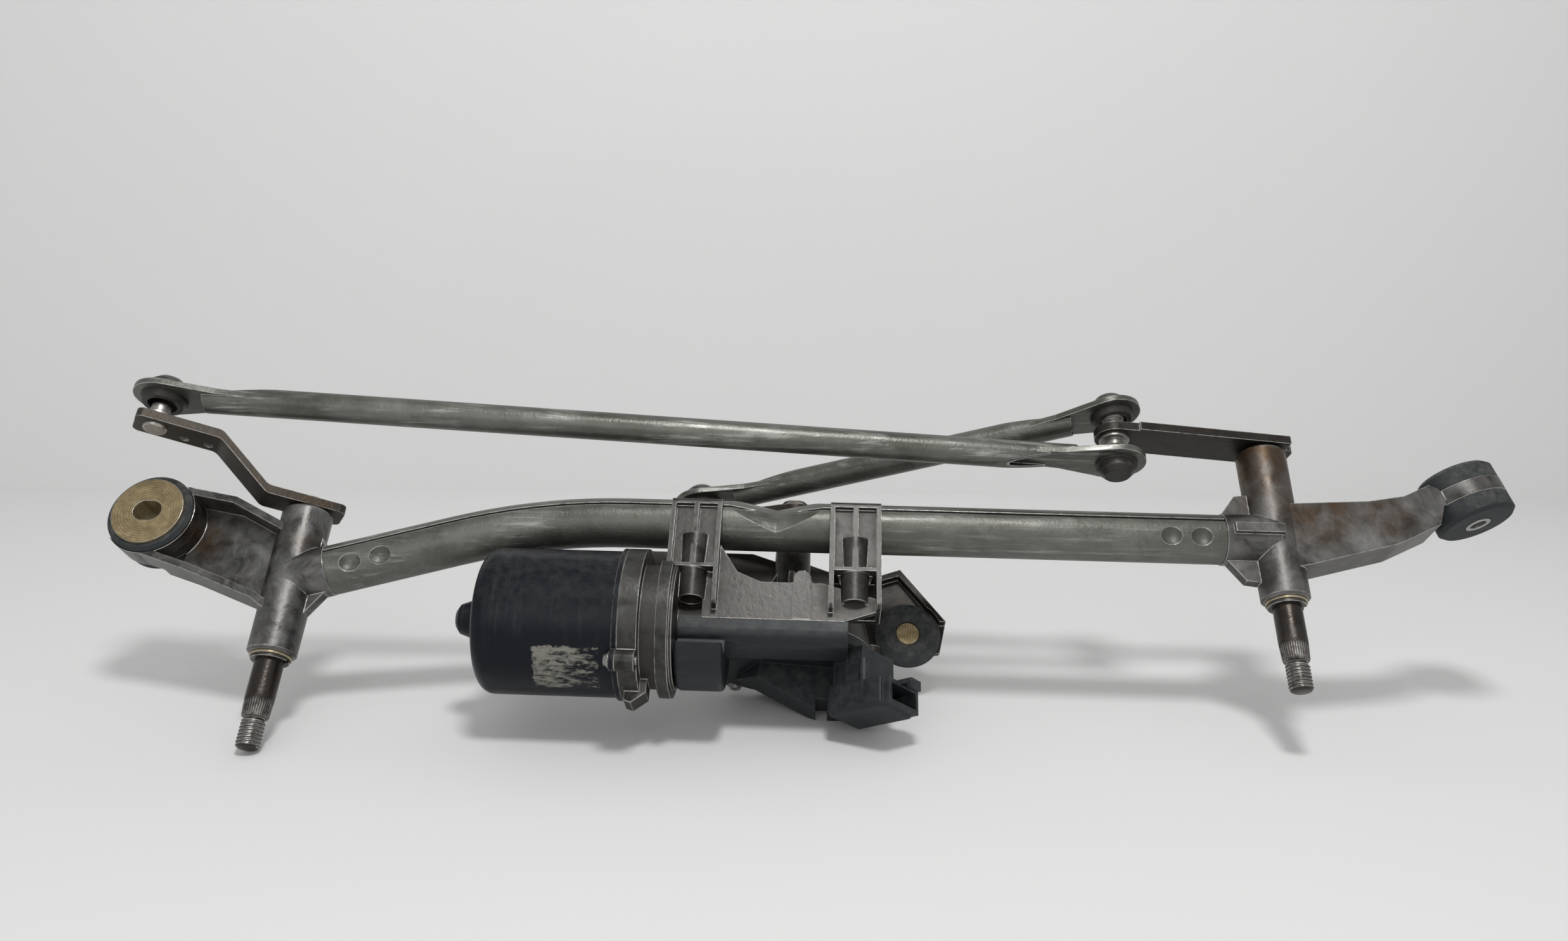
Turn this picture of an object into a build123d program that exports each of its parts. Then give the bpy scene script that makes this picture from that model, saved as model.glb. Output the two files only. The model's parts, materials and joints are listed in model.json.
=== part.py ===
from build123d import *
import os
from math import acos, atan2, cos, degrees, hypot, pi, radians, sin, sqrt, tan

# Windscreen wiper drive: a bent tube frame between two cast spindle housings, with the
# worm-gear motor hung on the tube and rods, levers and ball joints that swing both spindles.
# Working axes: X from the left spindle to the right one, Y away from the viewer,
# Z along the spindles from the threaded tips to the levers. At the end everything is
# laid on its three lowest points, as it lies on a table. All sizes are in millimetres.

# Spindles and their housings
spindle_span = 430.0
right_rise = 39.0
shaft_radius = 6.0
thread_radius = 5.0
thread_length = 13.0
taper_length = 9.0
stub_length = 40.0
left_barrel_length = 68.0
right_barrel_length = 73.0
barrel_foot_radius = 10.2
barrel_top_radius = 10.9
bush_outer_radius = 8.0
bush_length = 18.0
bush_recess = 1.2
running_gap = 0.05
face_gap = 0.15
circlip_thickness = 1.2
circlip_depth = 0.7
washer_thickness = 1.0
casting_wall = 3.2

# Frame tube
tube_radius = 11.0
tube_wall = 1.5
tube_height = 108.0
left_spigot_height = 75.3
tube_bend_angle = 17.0
tube_bend_radius = 260.0
tube_end_gap = 24.0
seam_width = 1.6
seam_angle = 25.0
spigot_length = 30.0
spigot_gap = 0.15
dimple_radius = 6.0
dimple_depth = 2.2
pinch_x = -4.0
pinch_angle = 38.0

# Levers
lever_thickness = 4.0
right_lever_width = 20.0
left_lever_width = 15.0
lever_overhang = 14.5
right_lever_radius = 68.6
left_lever_radius = 70.0
left_lever_angle = 212.0
lever_step = 19.6
step_start = 20.0
step_end = 44.0

# Ball joints and rods
ball_radius = 6.5
ball_gap = 0.07
neck_radius = 4.0
collar_radius = 6.6
socket_radius = 7.8
cap_radius = 7.8
cap_height = 6.4
cap_flange_radius = 9.2
boot_radius = 9.6
boot_height = 3.4
eye_radius = 13.0
eye_thickness = 2.6
rod_radius = 6.3
rod_wall = 1.3
rod_trough = 62.0
open_gap = 0.4
upper_ball_rise = 9.5
lower_ball_drop = 11.8
left_ball_rise = 12.0

# Motor and gear
motor_y = 0.0
motor_z = 59.5
gear_module = 1.0
wheel_teeth = 54
worm_radius = 5.0
wheel_width = 6.0
tooth_gap = 0.36
output_x = 3.0
shaft_end = 22.5
crank_radius = 48.0
output_radius = 5.0
boss_radius = 8.5
boss_top = 122.0
crank_bottom = 127.6
crank_thickness = 4.4
nut_height = 3.6
crank_ball_rise = 11.0
parting_drop = 0.0
housing_radius = 37.0
housing_wall = 2.6
housing_depth = 17.5
housing_taper = 4.0
bowl_shift = 3.0
drum_radius = 27.0
drum_length = 20.0
drum_ledge = 44.0
shaft_core_radius = 3.0
core_radius = 22.0
core_length = 32.0
core_start = 10.5
commutator_radius = 10.0
commutator_length = 9.0
bearing_radius = 6.15
floor_lean = 0.8
screw_radius = 1.85
duct_front = 24.5
duct_back = 44.0
duct_low = 34.0
duct_reach = 33.0
wall_y = 52.0
wall_top = 119.6
wall_thickness = 2.6
tunnel_radius = 8.3
can_radius = 31.0
can_wall = 1.6
can_length = 61.0
nose_length = 12.5
bearing_well = 6.0
ear_radius = 4.4
can_mouth_x = -65.0
neck_flange = 8.0
neck_length = 21.4
motor_neck_radius = 27.0
neck_ring = 5.0
neck_shelf = 19.0
front_wall_thickness = 3.0
arm_spacing = 69.0
arm_middle_x = -3.8
arm_width = 22.0
arm_front = -16.0
sleeve_radius = 5.7
sleeve_bore = 4.7
sleeve_foot = 67.6
cover_depth = 5.6
cover_wall = 1.8

# Mounts
left_eye_x = -66.0
left_eye_z = 101.0
right_eye_x = 87.0
right_eye_z = 131.0
right_eye_tilt = 15.0
grommet_radius = 18.5
right_grommet_radius = 16.5
right_groove_radius = 12.6
grommet_groove = 14.0
roller_x = 57.3
roller_z = 79.1
roller_front = 48.0
roller_length = 10.6
roller_radius = 15.4
pin_radius = 5.8

# Connector
socket_x = 38.6
socket_y = 14.3
socket_floor = 26.5
socket_angle = -38.0
socket_length = 27.5
socket_width = 24.0
socket_height = 12.5
socket_wall = 1.8

half_span = spindle_span / 2
left_x = -half_span
right_x = half_span
UP = (Align.CENTER, Align.CENTER, Align.MIN)
parts = {}


def disc(radius, low, high, x=0.0, y=0.0):
    return Pos(x, y, low) * Cylinder(radius, high - low, align=UP)


def ring(outer, inner, low, high, x=0.0, y=0.0):
    return disc(outer, low, high, x, y) - disc(inner, low - 1, high + 1, x, y)


def turned(points):
    """Solid of revolution about Z from (radius, height) points."""
    outline = Polyline(*[(r, 0, z) for r, z in points], close=True)
    return revolve(make_face(outline), Axis.Z)


def slab(points, front, back, rounding=0.0):
    """Plate with an outline in X and Z, from Y = front to Y = back."""
    face = make_face(Polyline(*points, close=True))
    if rounding > 0:
        face = fillet(face.vertices(), rounding)
    plane = Plane(origin=(0, back, 0), x_dir=(1, 0, 0), z_dir=(0, -1, 0))
    return extrude(plane * face, back - front)


def plate(points, low, high, rounding=0.0):
    """Plate with an outline in X and Y, from Z = low to Z = high."""
    face = make_face(Polyline(*points, close=True))
    if rounding > 0:
        face = fillet(face.vertices(), rounding)
    return extrude(Pos(0, 0, low) * face, high - low)


def block(x0, x1, y0, y1, z0, z1):
    middle = ((x0 + x1) / 2, (y0 + y1) / 2, (z0 + z1) / 2)
    return Pos(*middle) * Box(x1 - x0, y1 - y0, z1 - z0)


def joined(pieces):
    """Several loose pieces kept as one part."""
    whole = pieces[0]
    for piece in pieces[1:]:
        whole += piece
    return whole


def along_x(shape, x, y, z):
    """Turn a shape made about Z so that its axis points along +X."""
    return Pos(x, y, z) * Rot(0, 90, 0) * shape


def along_y(shape, x, y, z):
    """Turn a shape made about Z so that its axis points along +Y."""
    return Pos(x, y, z) * Rot(-90, 0, 0) * shape


def bean(radius_a, radius_b, distance, low, high):
    """Plate with two round ends, from the origin to X = distance."""
    bar = disc(radius_a, low, high) + disc(radius_b, low, high, distance)
    lean = (radius_a - radius_b) / distance
    rise = sqrt(1 - lean * lean)
    near = (radius_a * lean, radius_a * rise)
    far = (distance + radius_b * lean, radius_b * rise)
    points = [near, far, (far[0], -far[1]), (near[0], -near[1])]
    return bar + plate(points, low, high)


# Heights along Z
left_barrel_foot = stub_length
left_barrel_top = left_barrel_foot + left_barrel_length
right_barrel_foot = right_rise + stub_length
right_barrel_top = right_barrel_foot + right_barrel_length
washer_seat = washer_thickness + 2 * face_gap
left_lever_z = left_barrel_top + washer_seat
right_lever_z = right_barrel_top + washer_seat
left_step_z = left_lever_z + lever_step
left_ball_z = left_step_z + lever_thickness + left_ball_rise
upper_ball_z = right_lever_z + lever_thickness + upper_ball_rise
lower_ball_z = right_lever_z - lower_ball_drop

# Gear set
wheel_radius = gear_module * wheel_teeth / 2
centre_distance = wheel_radius + worm_radius
output_y = motor_y + centre_distance
parting_z = motor_z - parting_drop
housing_top = parting_z + housing_depth
crank_top = crank_bottom + crank_thickness
crank_ball_z = crank_top + crank_ball_rise
tooth_pitch = pi * gear_module
lead_angle = degrees(atan2(tooth_pitch, 2 * pi * worm_radius))

# Linkage: at rest the crank and the drive rod are in line, folded back on each other.
# The drive rod's length follows from the lever's rest angle, and all swings from the rods.
shaft_gap = hypot(right_x - output_x, output_y)
shaft_bearing = degrees(atan2(output_y, output_x - right_x))
right_lever_rest = 187.4
right_ball_x = right_x + right_lever_radius * cos(radians(right_lever_rest))
right_ball_y = right_lever_radius * sin(radians(right_lever_rest))
left_ball_x = left_x + left_lever_radius * cos(radians(left_lever_angle))
left_ball_y = left_lever_radius * sin(radians(left_lever_angle))
folded = hypot(right_ball_x - output_x, right_ball_y - output_y)
drive_span = folded + crank_radius
crank_angle = degrees(atan2(output_y - right_ball_y, output_x - right_ball_x))
crank_ball_x = output_x + crank_radius * cos(radians(crank_angle))
crank_ball_y = output_y + crank_radius * sin(radians(crank_angle))
link_span = hypot(right_ball_x - left_ball_x, right_ball_y - left_ball_y)


def swing_angle(arm, base, reach):
    """Angle at the pivot of a triangle with sides arm and base, facing the side reach."""
    return degrees(acos((arm * arm + base * base - reach * reach) / (2 * arm * base)))


stretched = drive_span + crank_radius
right_lever_end = shaft_bearing + swing_angle(right_lever_radius, shaft_gap, stretched)
right_swing = right_lever_end - right_lever_rest
end_ball_x = right_x + right_lever_radius * cos(radians(right_lever_end))
end_ball_y = right_lever_radius * sin(radians(right_lever_end))
link_base = hypot(end_ball_x - left_x, end_ball_y)
link_bearing = degrees(atan2(end_ball_y, end_ball_x - left_x))
left_lever_end = 360 + link_bearing - swing_angle(left_lever_radius, link_base, link_span)
left_swing = left_lever_end - left_lever_angle
end_line = degrees(atan2(output_y - end_ball_y, output_x - end_ball_x)) % 360
crank_swing = end_line - 180 - crank_angle


def spindle(foot, barrel_foot, lever_z):
    """Threaded tip, knurled taper, plain shaft, circlip groove and riveted head."""
    top = lever_z + lever_thickness
    chamfer_size = 1.0
    groove = barrel_foot - face_gap - washer_thickness - face_gap - circlip_thickness
    taper_top = foot + thread_length + taper_length
    core = thread_radius - 0.9
    points = [
        (0, foot),
        (thread_radius - chamfer_size, foot),
        (thread_radius, foot + chamfer_size),
        (thread_radius, foot + thread_length - 1.5),
        (core, foot + thread_length - 1.0),
        (core, foot + thread_length),
        (thread_radius + 0.3, foot + thread_length),
        (shaft_radius, taper_top),
        (shaft_radius, groove),
        (shaft_radius - circlip_depth, groove),
        (shaft_radius - circlip_depth, groove + circlip_thickness + 0.1),
        (shaft_radius, groove + circlip_thickness + 0.1),
        (shaft_radius, lever_z),
        (shaft_radius - 1, lever_z),
        (shaft_radius - 1, top),
        (shaft_radius + 0.6, top),
        (shaft_radius - 0.8, top + 1.6),
        (0, top + 1.6),
    ]
    return turned(points)


def spindle_bushes(foot, top):
    hole = shaft_radius + running_gap
    low = foot + bush_recess
    high = top - bush_recess
    lower = ring(bush_outer_radius - 0.02, hole, low, low + bush_length)
    upper = ring(bush_outer_radius - 0.02, hole, high - bush_length, high)
    return lower + upper


def spindle_rings(foot):
    """Thrust washer and circlip under a housing."""
    washer_top = foot - face_gap
    washer = ring(shaft_radius + 2.6, shaft_radius + 0.1, washer_top - washer_thickness, washer_top)
    clip_top = washer_top - washer_thickness - face_gap
    clip_inside = shaft_radius - circlip_depth + 0.05
    clip = ring(shaft_radius + 1.9, clip_inside, clip_top - circlip_thickness, clip_top)
    gap = block(0, shaft_radius + 3, -1.6, 1.6, clip_top - circlip_thickness - 1, clip_top + 0.05)
    return washer, clip - gap


def barrel(foot, top):
    """Outer skin of a spindle housing, a little thicker at the top, with rolled edges."""
    edge = 1.2
    points = [
        (0, foot),
        (barrel_foot_radius - edge, foot),
        (barrel_foot_radius, foot + edge),
        (barrel_top_radius, top - edge),
        (barrel_top_radius - edge, top),
        (0, top),
    ]
    return turned(points)


def barrel_bore(foot, top):
    seat = bush_recess + bush_length
    relief = bush_outer_radius - 1.0
    points = [
        (0, foot - 1),
        (bush_outer_radius, foot - 1),
        (bush_outer_radius, foot + seat),
        (relief, foot + seat + 1),
        (relief, top - seat - 1),
        (bush_outer_radius, top - seat),
        (bush_outer_radius, top + 1),
        (0, top + 1),
    ]
    return turned(points)


bore_radius = tube_radius - tube_wall
left_slope = radians(tube_bend_angle)
left_tube_end = (
    left_x + tube_end_gap * cos(left_slope) * 0.72,
    0,
    left_spigot_height + tube_end_gap * sin(left_slope) * 0.72,
)
right_tube_end = (right_x - tube_end_gap, 0, tube_height)
corner_x = left_x + (tube_height - left_spigot_height) / tan(left_slope)


def tube_route():
    return FilletPolyline(
        left_tube_end, (corner_x, 0, tube_height), right_tube_end, radius=tube_bend_radius
    )


def dimple_places():
    """Centres of the four pressed dimples on the front of the tube, two at each end."""
    centres = []
    for run in (11.0, 24.0):
        centres.append((right_tube_end[0] - run, right_tube_end[2], 0.0))
        x = left_tube_end[0] + run * cos(left_slope)
        z = left_tube_end[2] + run * sin(left_slope)
        centres.append((x, z, tube_bend_angle))
    return centres


def dimple_tools(grow):
    """Rounded punches that press the tube wall into the spigots."""
    tools = []
    for x, z, lean in dimple_places():
        for side in (-70.0, 110.0):
            reach = tube_radius + dimple_radius - dimple_depth
            y = -reach * cos(radians(side + 70 - 20))
            dz = reach * sin(radians(side + 70 - 20))
            ball = Sphere(dimple_radius + grow)
            tools.append(Pos(x - dz * sin(radians(lean)), y, z + dz * cos(radians(lean))) * ball)
    return tools


def pinch_tool(grow):
    """Ring with a sharp inner ridge, set off to one side, that creases the tube's front."""
    shift = 9.2
    ridge = tube_radius + 4.8 - grow
    spread = 34.0
    rise = spread / tan(radians(78))
    ridge_face = make_face(Polyline((ridge, 0), (ridge + rise, spread), (ridge + rise, -spread), close=True))
    tool = revolve(Plane.XZ * ridge_face, Axis.Z)
    y = shift * cos(radians(pinch_angle))
    z = -shift * sin(radians(pinch_angle))
    return Pos(pinch_x, y, tube_height + z) * Rot(0, 90, 0) * tool


def frame_tube():
    route = tube_route()
    start = Plane(origin=left_tube_end, x_dir=(0, 1, 0), z_dir=route % 0)
    outer = sweep(start * Circle(tube_radius), path=route)
    inner = sweep(start * Circle(bore_radius), path=route)
    for tool in dimple_tools(0.0):
        outer -= tool
    for tool in dimple_tools(tube_wall):
        inner -= tool
    outer -= pinch_tool(0.0)
    inner -= pinch_tool(tube_wall)
    tube = outer - inner
    side = Plane(origin=left_tube_end, x_dir=(0, 1, 0), z_dir=route % 0)
    gap = Rectangle(2 * tube_wall + 2, seam_width)
    slot = side * Rot(0, 0, 180 - seam_angle) * Pos(tube_radius, 0, 0) * gap
    return tube - sweep(slot, path=route)


def spigot(length, grow=0.0):
    return Cylinder(bore_radius - spigot_gap + grow, length, align=UP)


def right_spigot():
    """Collar, spigot and web that carry the tube's right end."""
    collar = Cylinder(tube_radius + 0.4, tube_end_gap - 1.0, align=UP)
    collar = along_x(collar, right_tube_end[0] + 0.1, 0, tube_height)
    inside = along_x(spigot(spigot_length), right_tube_end[0] - spigot_length + 0.5, 0, tube_height)
    web_start = right_tube_end[0] + 1.0
    rise = 9.5
    web = slab(
        [
            (web_start, tube_height - tube_radius),
            (web_start + 7, tube_height - tube_radius - rise),
            (right_x, tube_height - tube_radius - rise - 2),
            (right_x, tube_height + tube_radius + rise + 2),
            (web_start + 7, tube_height + tube_radius + rise),
            (web_start, tube_height + tube_radius),
        ],
        -2.6,
        2.6,
    )
    web_half = tube_radius + 2.5
    flat_web = block(web_start + 2, right_x, -web_half, web_half, tube_height - 2.2, tube_height + 2.2)
    return collar + inside + web + flat_web


def left_spigot():
    """The same at the left, leaning with the tube."""
    base = Plane(
        origin=left_tube_end,
        x_dir=(0, 1, 0),
        z_dir=(-cos(left_slope), 0, -sin(left_slope)),
    )
    run = tube_end_gap * 0.72
    collar = base * Pos(0, 0, 0.1) * Cylinder(tube_radius + 0.2, run - 1.0, align=UP)
    inside = base * Pos(0, 0, -spigot_length + 0.5) * spigot(spigot_length)
    foot = left_spigot_height - 24
    web = slab(
        [
            (left_x, foot),
            (left_x + 9, foot + 6),
            (left_tube_end[0] + 1.8, left_tube_end[2] - tube_radius + 1.5),
            (left_tube_end[0] - 3.6, left_tube_end[2] + tube_radius - 1.0),
            (left_x + 9, left_tube_end[2] + tube_radius + 6),
            (left_x, left_tube_end[2] + tube_radius + 9),
        ],
        -2.6,
        2.6,
    )
    return collar + inside + web


def shell_arm(outline, web_front, web_back, front, back, wall):
    """Cast arm with an open back or front: a web with a rim wall all round its outline."""
    body = slab(outline, front, back)
    cx = sum(p[0] for p in outline) / len(outline)
    cz = sum(p[1] for p in outline) / len(outline)
    face = make_face(Polyline(*outline, close=True))
    inner = offset(face, -wall)
    plane = Plane(origin=(0, back, 0), x_dir=(1, 0, 0), z_dir=(0, -1, 0))
    pocket = extrude(plane * inner, back - front)
    if web_front > front:
        cut = pocket & block(cx - 300, cx + 300, front - 1, web_front, cz - 300, cz + 300)
        body -= cut
    if web_back < back:
        cut = pocket & block(cx - 300, cx + 300, web_back, back + 1, cz - 300, cz + 300)
        body -= cut
    return body


def left_housing():
    foot = left_barrel_foot
    top = left_barrel_top
    body = Pos(left_x, 0, 0) * barrel(foot, top)
    body += left_spigot()
    eye_x = left_x + left_eye_x
    arm = [
        (left_x, top - 12),
        (left_x - 30, left_eye_z + 10.0),
        (left_x - 50, left_eye_z + 13.5),
        (eye_x, left_eye_z + grommet_radius - 0.6),
        (eye_x - 4, left_eye_z - grommet_radius + 0.6),
        (left_x - 44, foot + 35),
        (left_x - 12, foot + 23),
        (left_x, foot + 15),
    ]
    body += shell_arm(arm, 4.0, 8.0, -9.0, 8.0, casting_wall)
    body += along_y(Cylinder(grommet_radius + 0.6, 17.0, align=UP), eye_x, -9.0, left_eye_z)
    body -= along_y(Cylinder(grommet_groove + 0.2, 30, align=UP), eye_x, -15, left_eye_z)
    front_seat = along_y(Cylinder(grommet_radius + 4.0, 12, align=UP), eye_x, -15.0, left_eye_z)
    back_seat = along_y(Cylinder(grommet_radius + 4.0, 12, align=UP), eye_x, 3.0, left_eye_z)
    keep = block(eye_x - 40, eye_x + 40, -20, 20, left_eye_z - 60, left_eye_z - 12)
    body -= front_seat - keep - block(eye_x + 12, eye_x + 60, -20, 20, left_eye_z - 30, left_eye_z + 14)
    body -= back_seat - block(eye_x + 14, eye_x + 60, -20, 20, left_eye_z - 60, left_eye_z + 60)
    body -= along_y(Cylinder(grommet_radius + 0.3, 12, align=UP), eye_x, -15.0, left_eye_z)
    body -= along_y(Cylinder(grommet_radius + 0.3, 12, align=UP), eye_x, 3.0, left_eye_z)
    body -= Pos(eye_x, 0, left_eye_z) * Rot(0, 28, 0) * block(-60, 0, -20, 20, -7.5, 7.5)
    for tool in dimple_tools(tube_wall + spigot_gap):
        body -= tool
    return body - Pos(left_x, 0, 0) * barrel_bore(foot, top)


def right_housing():
    foot = right_barrel_foot
    top = right_barrel_top
    body = Pos(right_x, 0, 0) * barrel(foot, top)
    body += right_spigot()
    arm = [
        (right_x, top - 30),
        (right_x + 40, top - 27.5),
        (right_x + 56, top - 24.5),
        (right_x + 68, top - 18.5),
        (right_x + 75, top - 22),
        (right_x + 69, top - 38),
        (right_x + 49, foot + 25),
        (right_x + 10, foot + 14),
        (right_x, foot + 12),
    ]
    body += shell_arm(arm, -9.0, -5.4, -9.0, 9.0, casting_wall)
    eye_x = right_x + right_eye_x
    eye = Pos(eye_x, 0, right_eye_z) * Rot(0, -right_eye_tilt, 0)
    body += eye * ring(right_groove_radius + 4.0, right_groove_radius + 0.2, -3.4, 3.4)
    body += eye * block(-24, -right_groove_radius - 2.0, -9, 9, -3.4, 3.4)
    body -= eye * disc(right_groove_radius + 0.2, -30, 30)
    body -= eye * disc(right_grommet_radius + 0.5, 3.4, 16)
    body -= eye * disc(right_grommet_radius + 0.5, -16, -3.4)
    for tool in dimple_tools(tube_wall + spigot_gap):
        body -= tool
    return body - Pos(right_x, 0, 0) * barrel_bore(foot, top)


def grommet(outer, groove, half_length, groove_half, bore):
    """Rubber spool about Z."""
    lip = 1.6
    points = [
        (bore, -half_length),
        (outer - lip, -half_length),
        (outer, -half_length + lip),
        (outer, -groove_half),
        (groove, -groove_half),
        (groove, groove_half),
        (outer, groove_half),
        (outer, half_length - lip),
        (outer - lip, half_length),
        (bore, half_length),
    ]
    return turned(points)


def sleeve(half_length, outer, collar_out, slot_long, slot_wide):
    """Flanged metal sleeve with an oval hole."""
    tube = disc(outer, -half_length, half_length)
    collar = disc(collar_out, -half_length - 1.6, -half_length)
    hole = extrude(Pos(0, 0, -half_length - 5) * SlotOverall(slot_long, slot_wide), 2 * half_length + 10)
    return tube + collar - hole


def left_mount():
    place = Pos(left_x + left_eye_x, -0.5, left_eye_z) * Rot(-90, 0, 0)
    rubber = place * grommet(grommet_radius, grommet_groove, 10.5, 3.6, 7.0)
    metal = place * sleeve(10.5, 6.98, 15.6, 12.6, 9.6)
    return rubber, metal


def right_mount():
    place = Pos(right_x + right_eye_x, 0, right_eye_z) * Rot(0, -right_eye_tilt, 0)
    rubber = place * grommet(right_grommet_radius, right_groove_radius, 12.0, 3.6, 5.2)
    metal = place * ring(5.18, 3.6, -12.4, 12.4)
    return rubber, metal


def strap(points, width, thickness):
    """Flat bar bent in X and Z, of constant thickness, from its lower edge line."""
    lower = Polyline(*[(x, z) for x, z in points])
    upper = Polyline(*[(x, z + thickness) for x, z in reversed(points)])
    closing = [Line(lower @ 1, upper @ 0), Line(upper @ 1, lower @ 0)]
    face = make_face([lower, upper] + closing)
    plane = Plane(origin=(0, width / 2, 0), x_dir=(1, 0, 0), z_dir=(0, -1, 0))
    return extrude(plane * face, width)


def left_lever():
    """Strap with a double bend that lifts its ball to the height of the long rod."""
    end = left_lever_radius + 8.5
    points = [
        (-lever_overhang, left_lever_z),
        (step_start, left_lever_z),
        (step_end, left_step_z),
        (end, left_step_z),
    ]
    bar = strap(points, left_lever_width, lever_thickness)
    bar = fillet(bar.edges().filter_by(Axis.Y).sort_by(Axis.X)[2:6], 5.0)
    bar = fillet(bar.edges().filter_by(Axis.Z), 3.0)
    bar -= disc(shaft_radius - 0.98, left_lever_z - 2, left_lever_z + 8)
    bar -= disc(neck_radius, left_step_z - 2, left_step_z + 8, left_lever_radius)
    for x in (step_end + 3.5, step_end + 13.5):
        bar -= disc(1.6, left_step_z - 1, left_step_z + 0.8, x, -3.2)
    return Pos(left_x, 0, 0) * Rot(0, 0, left_lever_angle) * bar


def right_lever():
    half = right_lever_width / 2
    bar = block(-lever_overhang, right_lever_radius - 9, -half, half, 0, lever_thickness)
    bar += bean(right_lever_width / 2, 8.6, right_lever_radius, 0, lever_thickness)
    bar -= block(-lever_overhang - 1, -lever_overhang + 4, 4, 12, -1, 9)
    bar = chamfer(bar.edges().filter_by(Axis.Z).group_by(Axis.X)[0], 2.0)
    bar -= disc(shaft_radius - 0.98, -1, lever_thickness + 1)
    bar -= disc(neck_radius, -1, lever_thickness + 1, right_lever_radius)
    return Pos(right_x, 0, right_lever_z) * Rot(0, 0, right_lever_rest) * bar


def ball_pair():
    """Double ball pin: one ball above the right lever and one below it."""
    upper = upper_ball_z
    lower = lower_ball_z
    top = right_lever_z + lever_thickness
    pin = disc(neck_radius - 0.02, lower, upper)
    pin += disc(collar_radius, top, top + 1.6)
    pin += disc(collar_radius, right_lever_z - 1.6, right_lever_z)
    pin += Pos(0, 0, upper) * Sphere(ball_radius)
    pin += Pos(0, 0, lower) * Sphere(ball_radius)
    return Pos(right_ball_x, right_ball_y, 0) * pin


def open_stud(x, y, under, seat, boot_foot):
    """Riveted ball pin whose ball is left off, so that it ends under the open rod end."""
    top = boot_foot - open_gap
    points = [
        (0, under - 1.2),
        (neck_radius + 0.6, under - 1.2),
        (neck_radius + 1.2, under),
        (neck_radius - 0.02, under),
        (neck_radius - 0.02, seat),
        (collar_radius, seat),
        (collar_radius, seat + 1.6),
        (neck_radius, seat + 2.4),
        (neck_radius, top - 0.6),
        (neck_radius - 0.6, top),
        (0, top),
    ]
    return Pos(x, y, 0) * turned(points)


def socket(side):
    """Plastic ball cup about Z: domed cap on one side (+1 up, -1 down), boot on the other."""
    half = eye_thickness / 2
    edge = 2.2
    points = [
        (0, half),
        (cap_flange_radius, half),
        (cap_flange_radius, half + 1.4),
        (cap_radius, half + 1.4),
        (cap_radius, half + cap_height - edge),
        (cap_radius - edge, half + cap_height),
        (0, half + cap_height),
    ]
    cup = turned(points)
    cup += disc(socket_radius - 0.03, -half, half)
    cup += turned(
        [
            (0, -half),
            (boot_radius, -half),
            (boot_radius, -half - 1.2),
            (boot_radius - 1.2, -half - boot_height),
            (0, -half - boot_height),
        ]
    )
    cup -= Sphere(ball_radius + ball_gap)
    cup -= disc(neck_radius + 2.1, -20, 0)
    if side < 0:
        cup = Rot(180, 0, 0) * cup
    return cup


def rod(span, near_side, far_side):
    """Pressed tube rod along X: round in the middle, opened to a trough towards each eye."""
    half = eye_thickness / 2
    tube = along_x(Cylinder(rod_radius, span - 2 * eye_radius + 8, align=UP), eye_radius - 4, 0, 0)
    body = tube - along_x(Cylinder(rod_radius - rod_wall, span + 20, align=UP), -10, 0, 0)
    tip = bean(eye_radius, rod_radius + 1.2, eye_radius + 10, -half, half)
    tip += Pos(eye_radius + 10, 0, 0) * bean(rod_radius + 1.2, rod_radius - 1.0, 24, -half, half)
    for place, side, flip in ((0.0, near_side, 1), (span, far_side, -1)):
        body -= Pos(place, 0, 0) * rod_trim(side, flip)
        body -= Pos(place, 0, 0) * mirror(disc(eye_radius + 6, half, 30), Plane.XY if side > 0 else Plane.XZ)
        end = tip if flip > 0 else mirror(tip, Plane.YZ)
        body += Pos(place, 0, 0) * end
    for place in (0.0, span):
        body -= disc(socket_radius, -20, 20, place)
    return body


def rod_place(x0, y0, z0, x1, y1, z1):
    """Frame with its origin on one ball, +X towards the other and +Z as near up as it can be."""
    along = Vector(x1 - x0, y1 - y0, z1 - z0).normalized()
    side = Vector(0, 0, 1).cross(along).normalized()
    return Plane(origin=(x0, y0, z0), x_dir=along, z_dir=along.cross(side))


def crank_arm():
    arm = bean(10.5, 8.6, crank_radius, 0, crank_thickness)
    arm += disc(9.0, -1.6, 0)
    arm -= disc(output_radius - 0.98, -3, crank_thickness + 3)
    arm -= disc(neck_radius, -3, crank_thickness + 3, crank_radius)
    return Pos(output_x, output_y, crank_bottom) * Rot(0, 0, crank_angle) * arm


def hexagon(across, height):
    return extrude(RegularPolygon(across / sqrt(3), 6), height)


def crank_nut():
    nut = hexagon(13.0, nut_height) & Cone(9.0, 6.4, nut_height + 0.5, align=UP)
    nut -= disc(output_radius - 0.98, -1, nut_height + 1)
    return Pos(output_x, output_y, crank_top) * nut


def output_shaft():
    foot = motor_z - wheel_width / 2 - 0.5
    thin = output_radius - 1.0
    groove = boss_top + face_gap + washer_thickness + face_gap
    points = [
        (0, foot),
        (output_radius - 0.6, foot),
        (output_radius, foot + 0.6),
        (output_radius, groove),
        (output_radius - 0.5, groove),
        (output_radius - 0.5, groove + 1.1),
        (output_radius, groove + 1.1),
        (output_radius, crank_bottom - 1.6),
        (thin, crank_bottom - 1.6),
        (thin, crank_top + nut_height),
        (thin - 0.4, crank_top + nut_height + 0.4),
        (0, crank_top + nut_height + 0.4),
    ]
    return Pos(output_x, output_y, 0) * turned(points)


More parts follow.
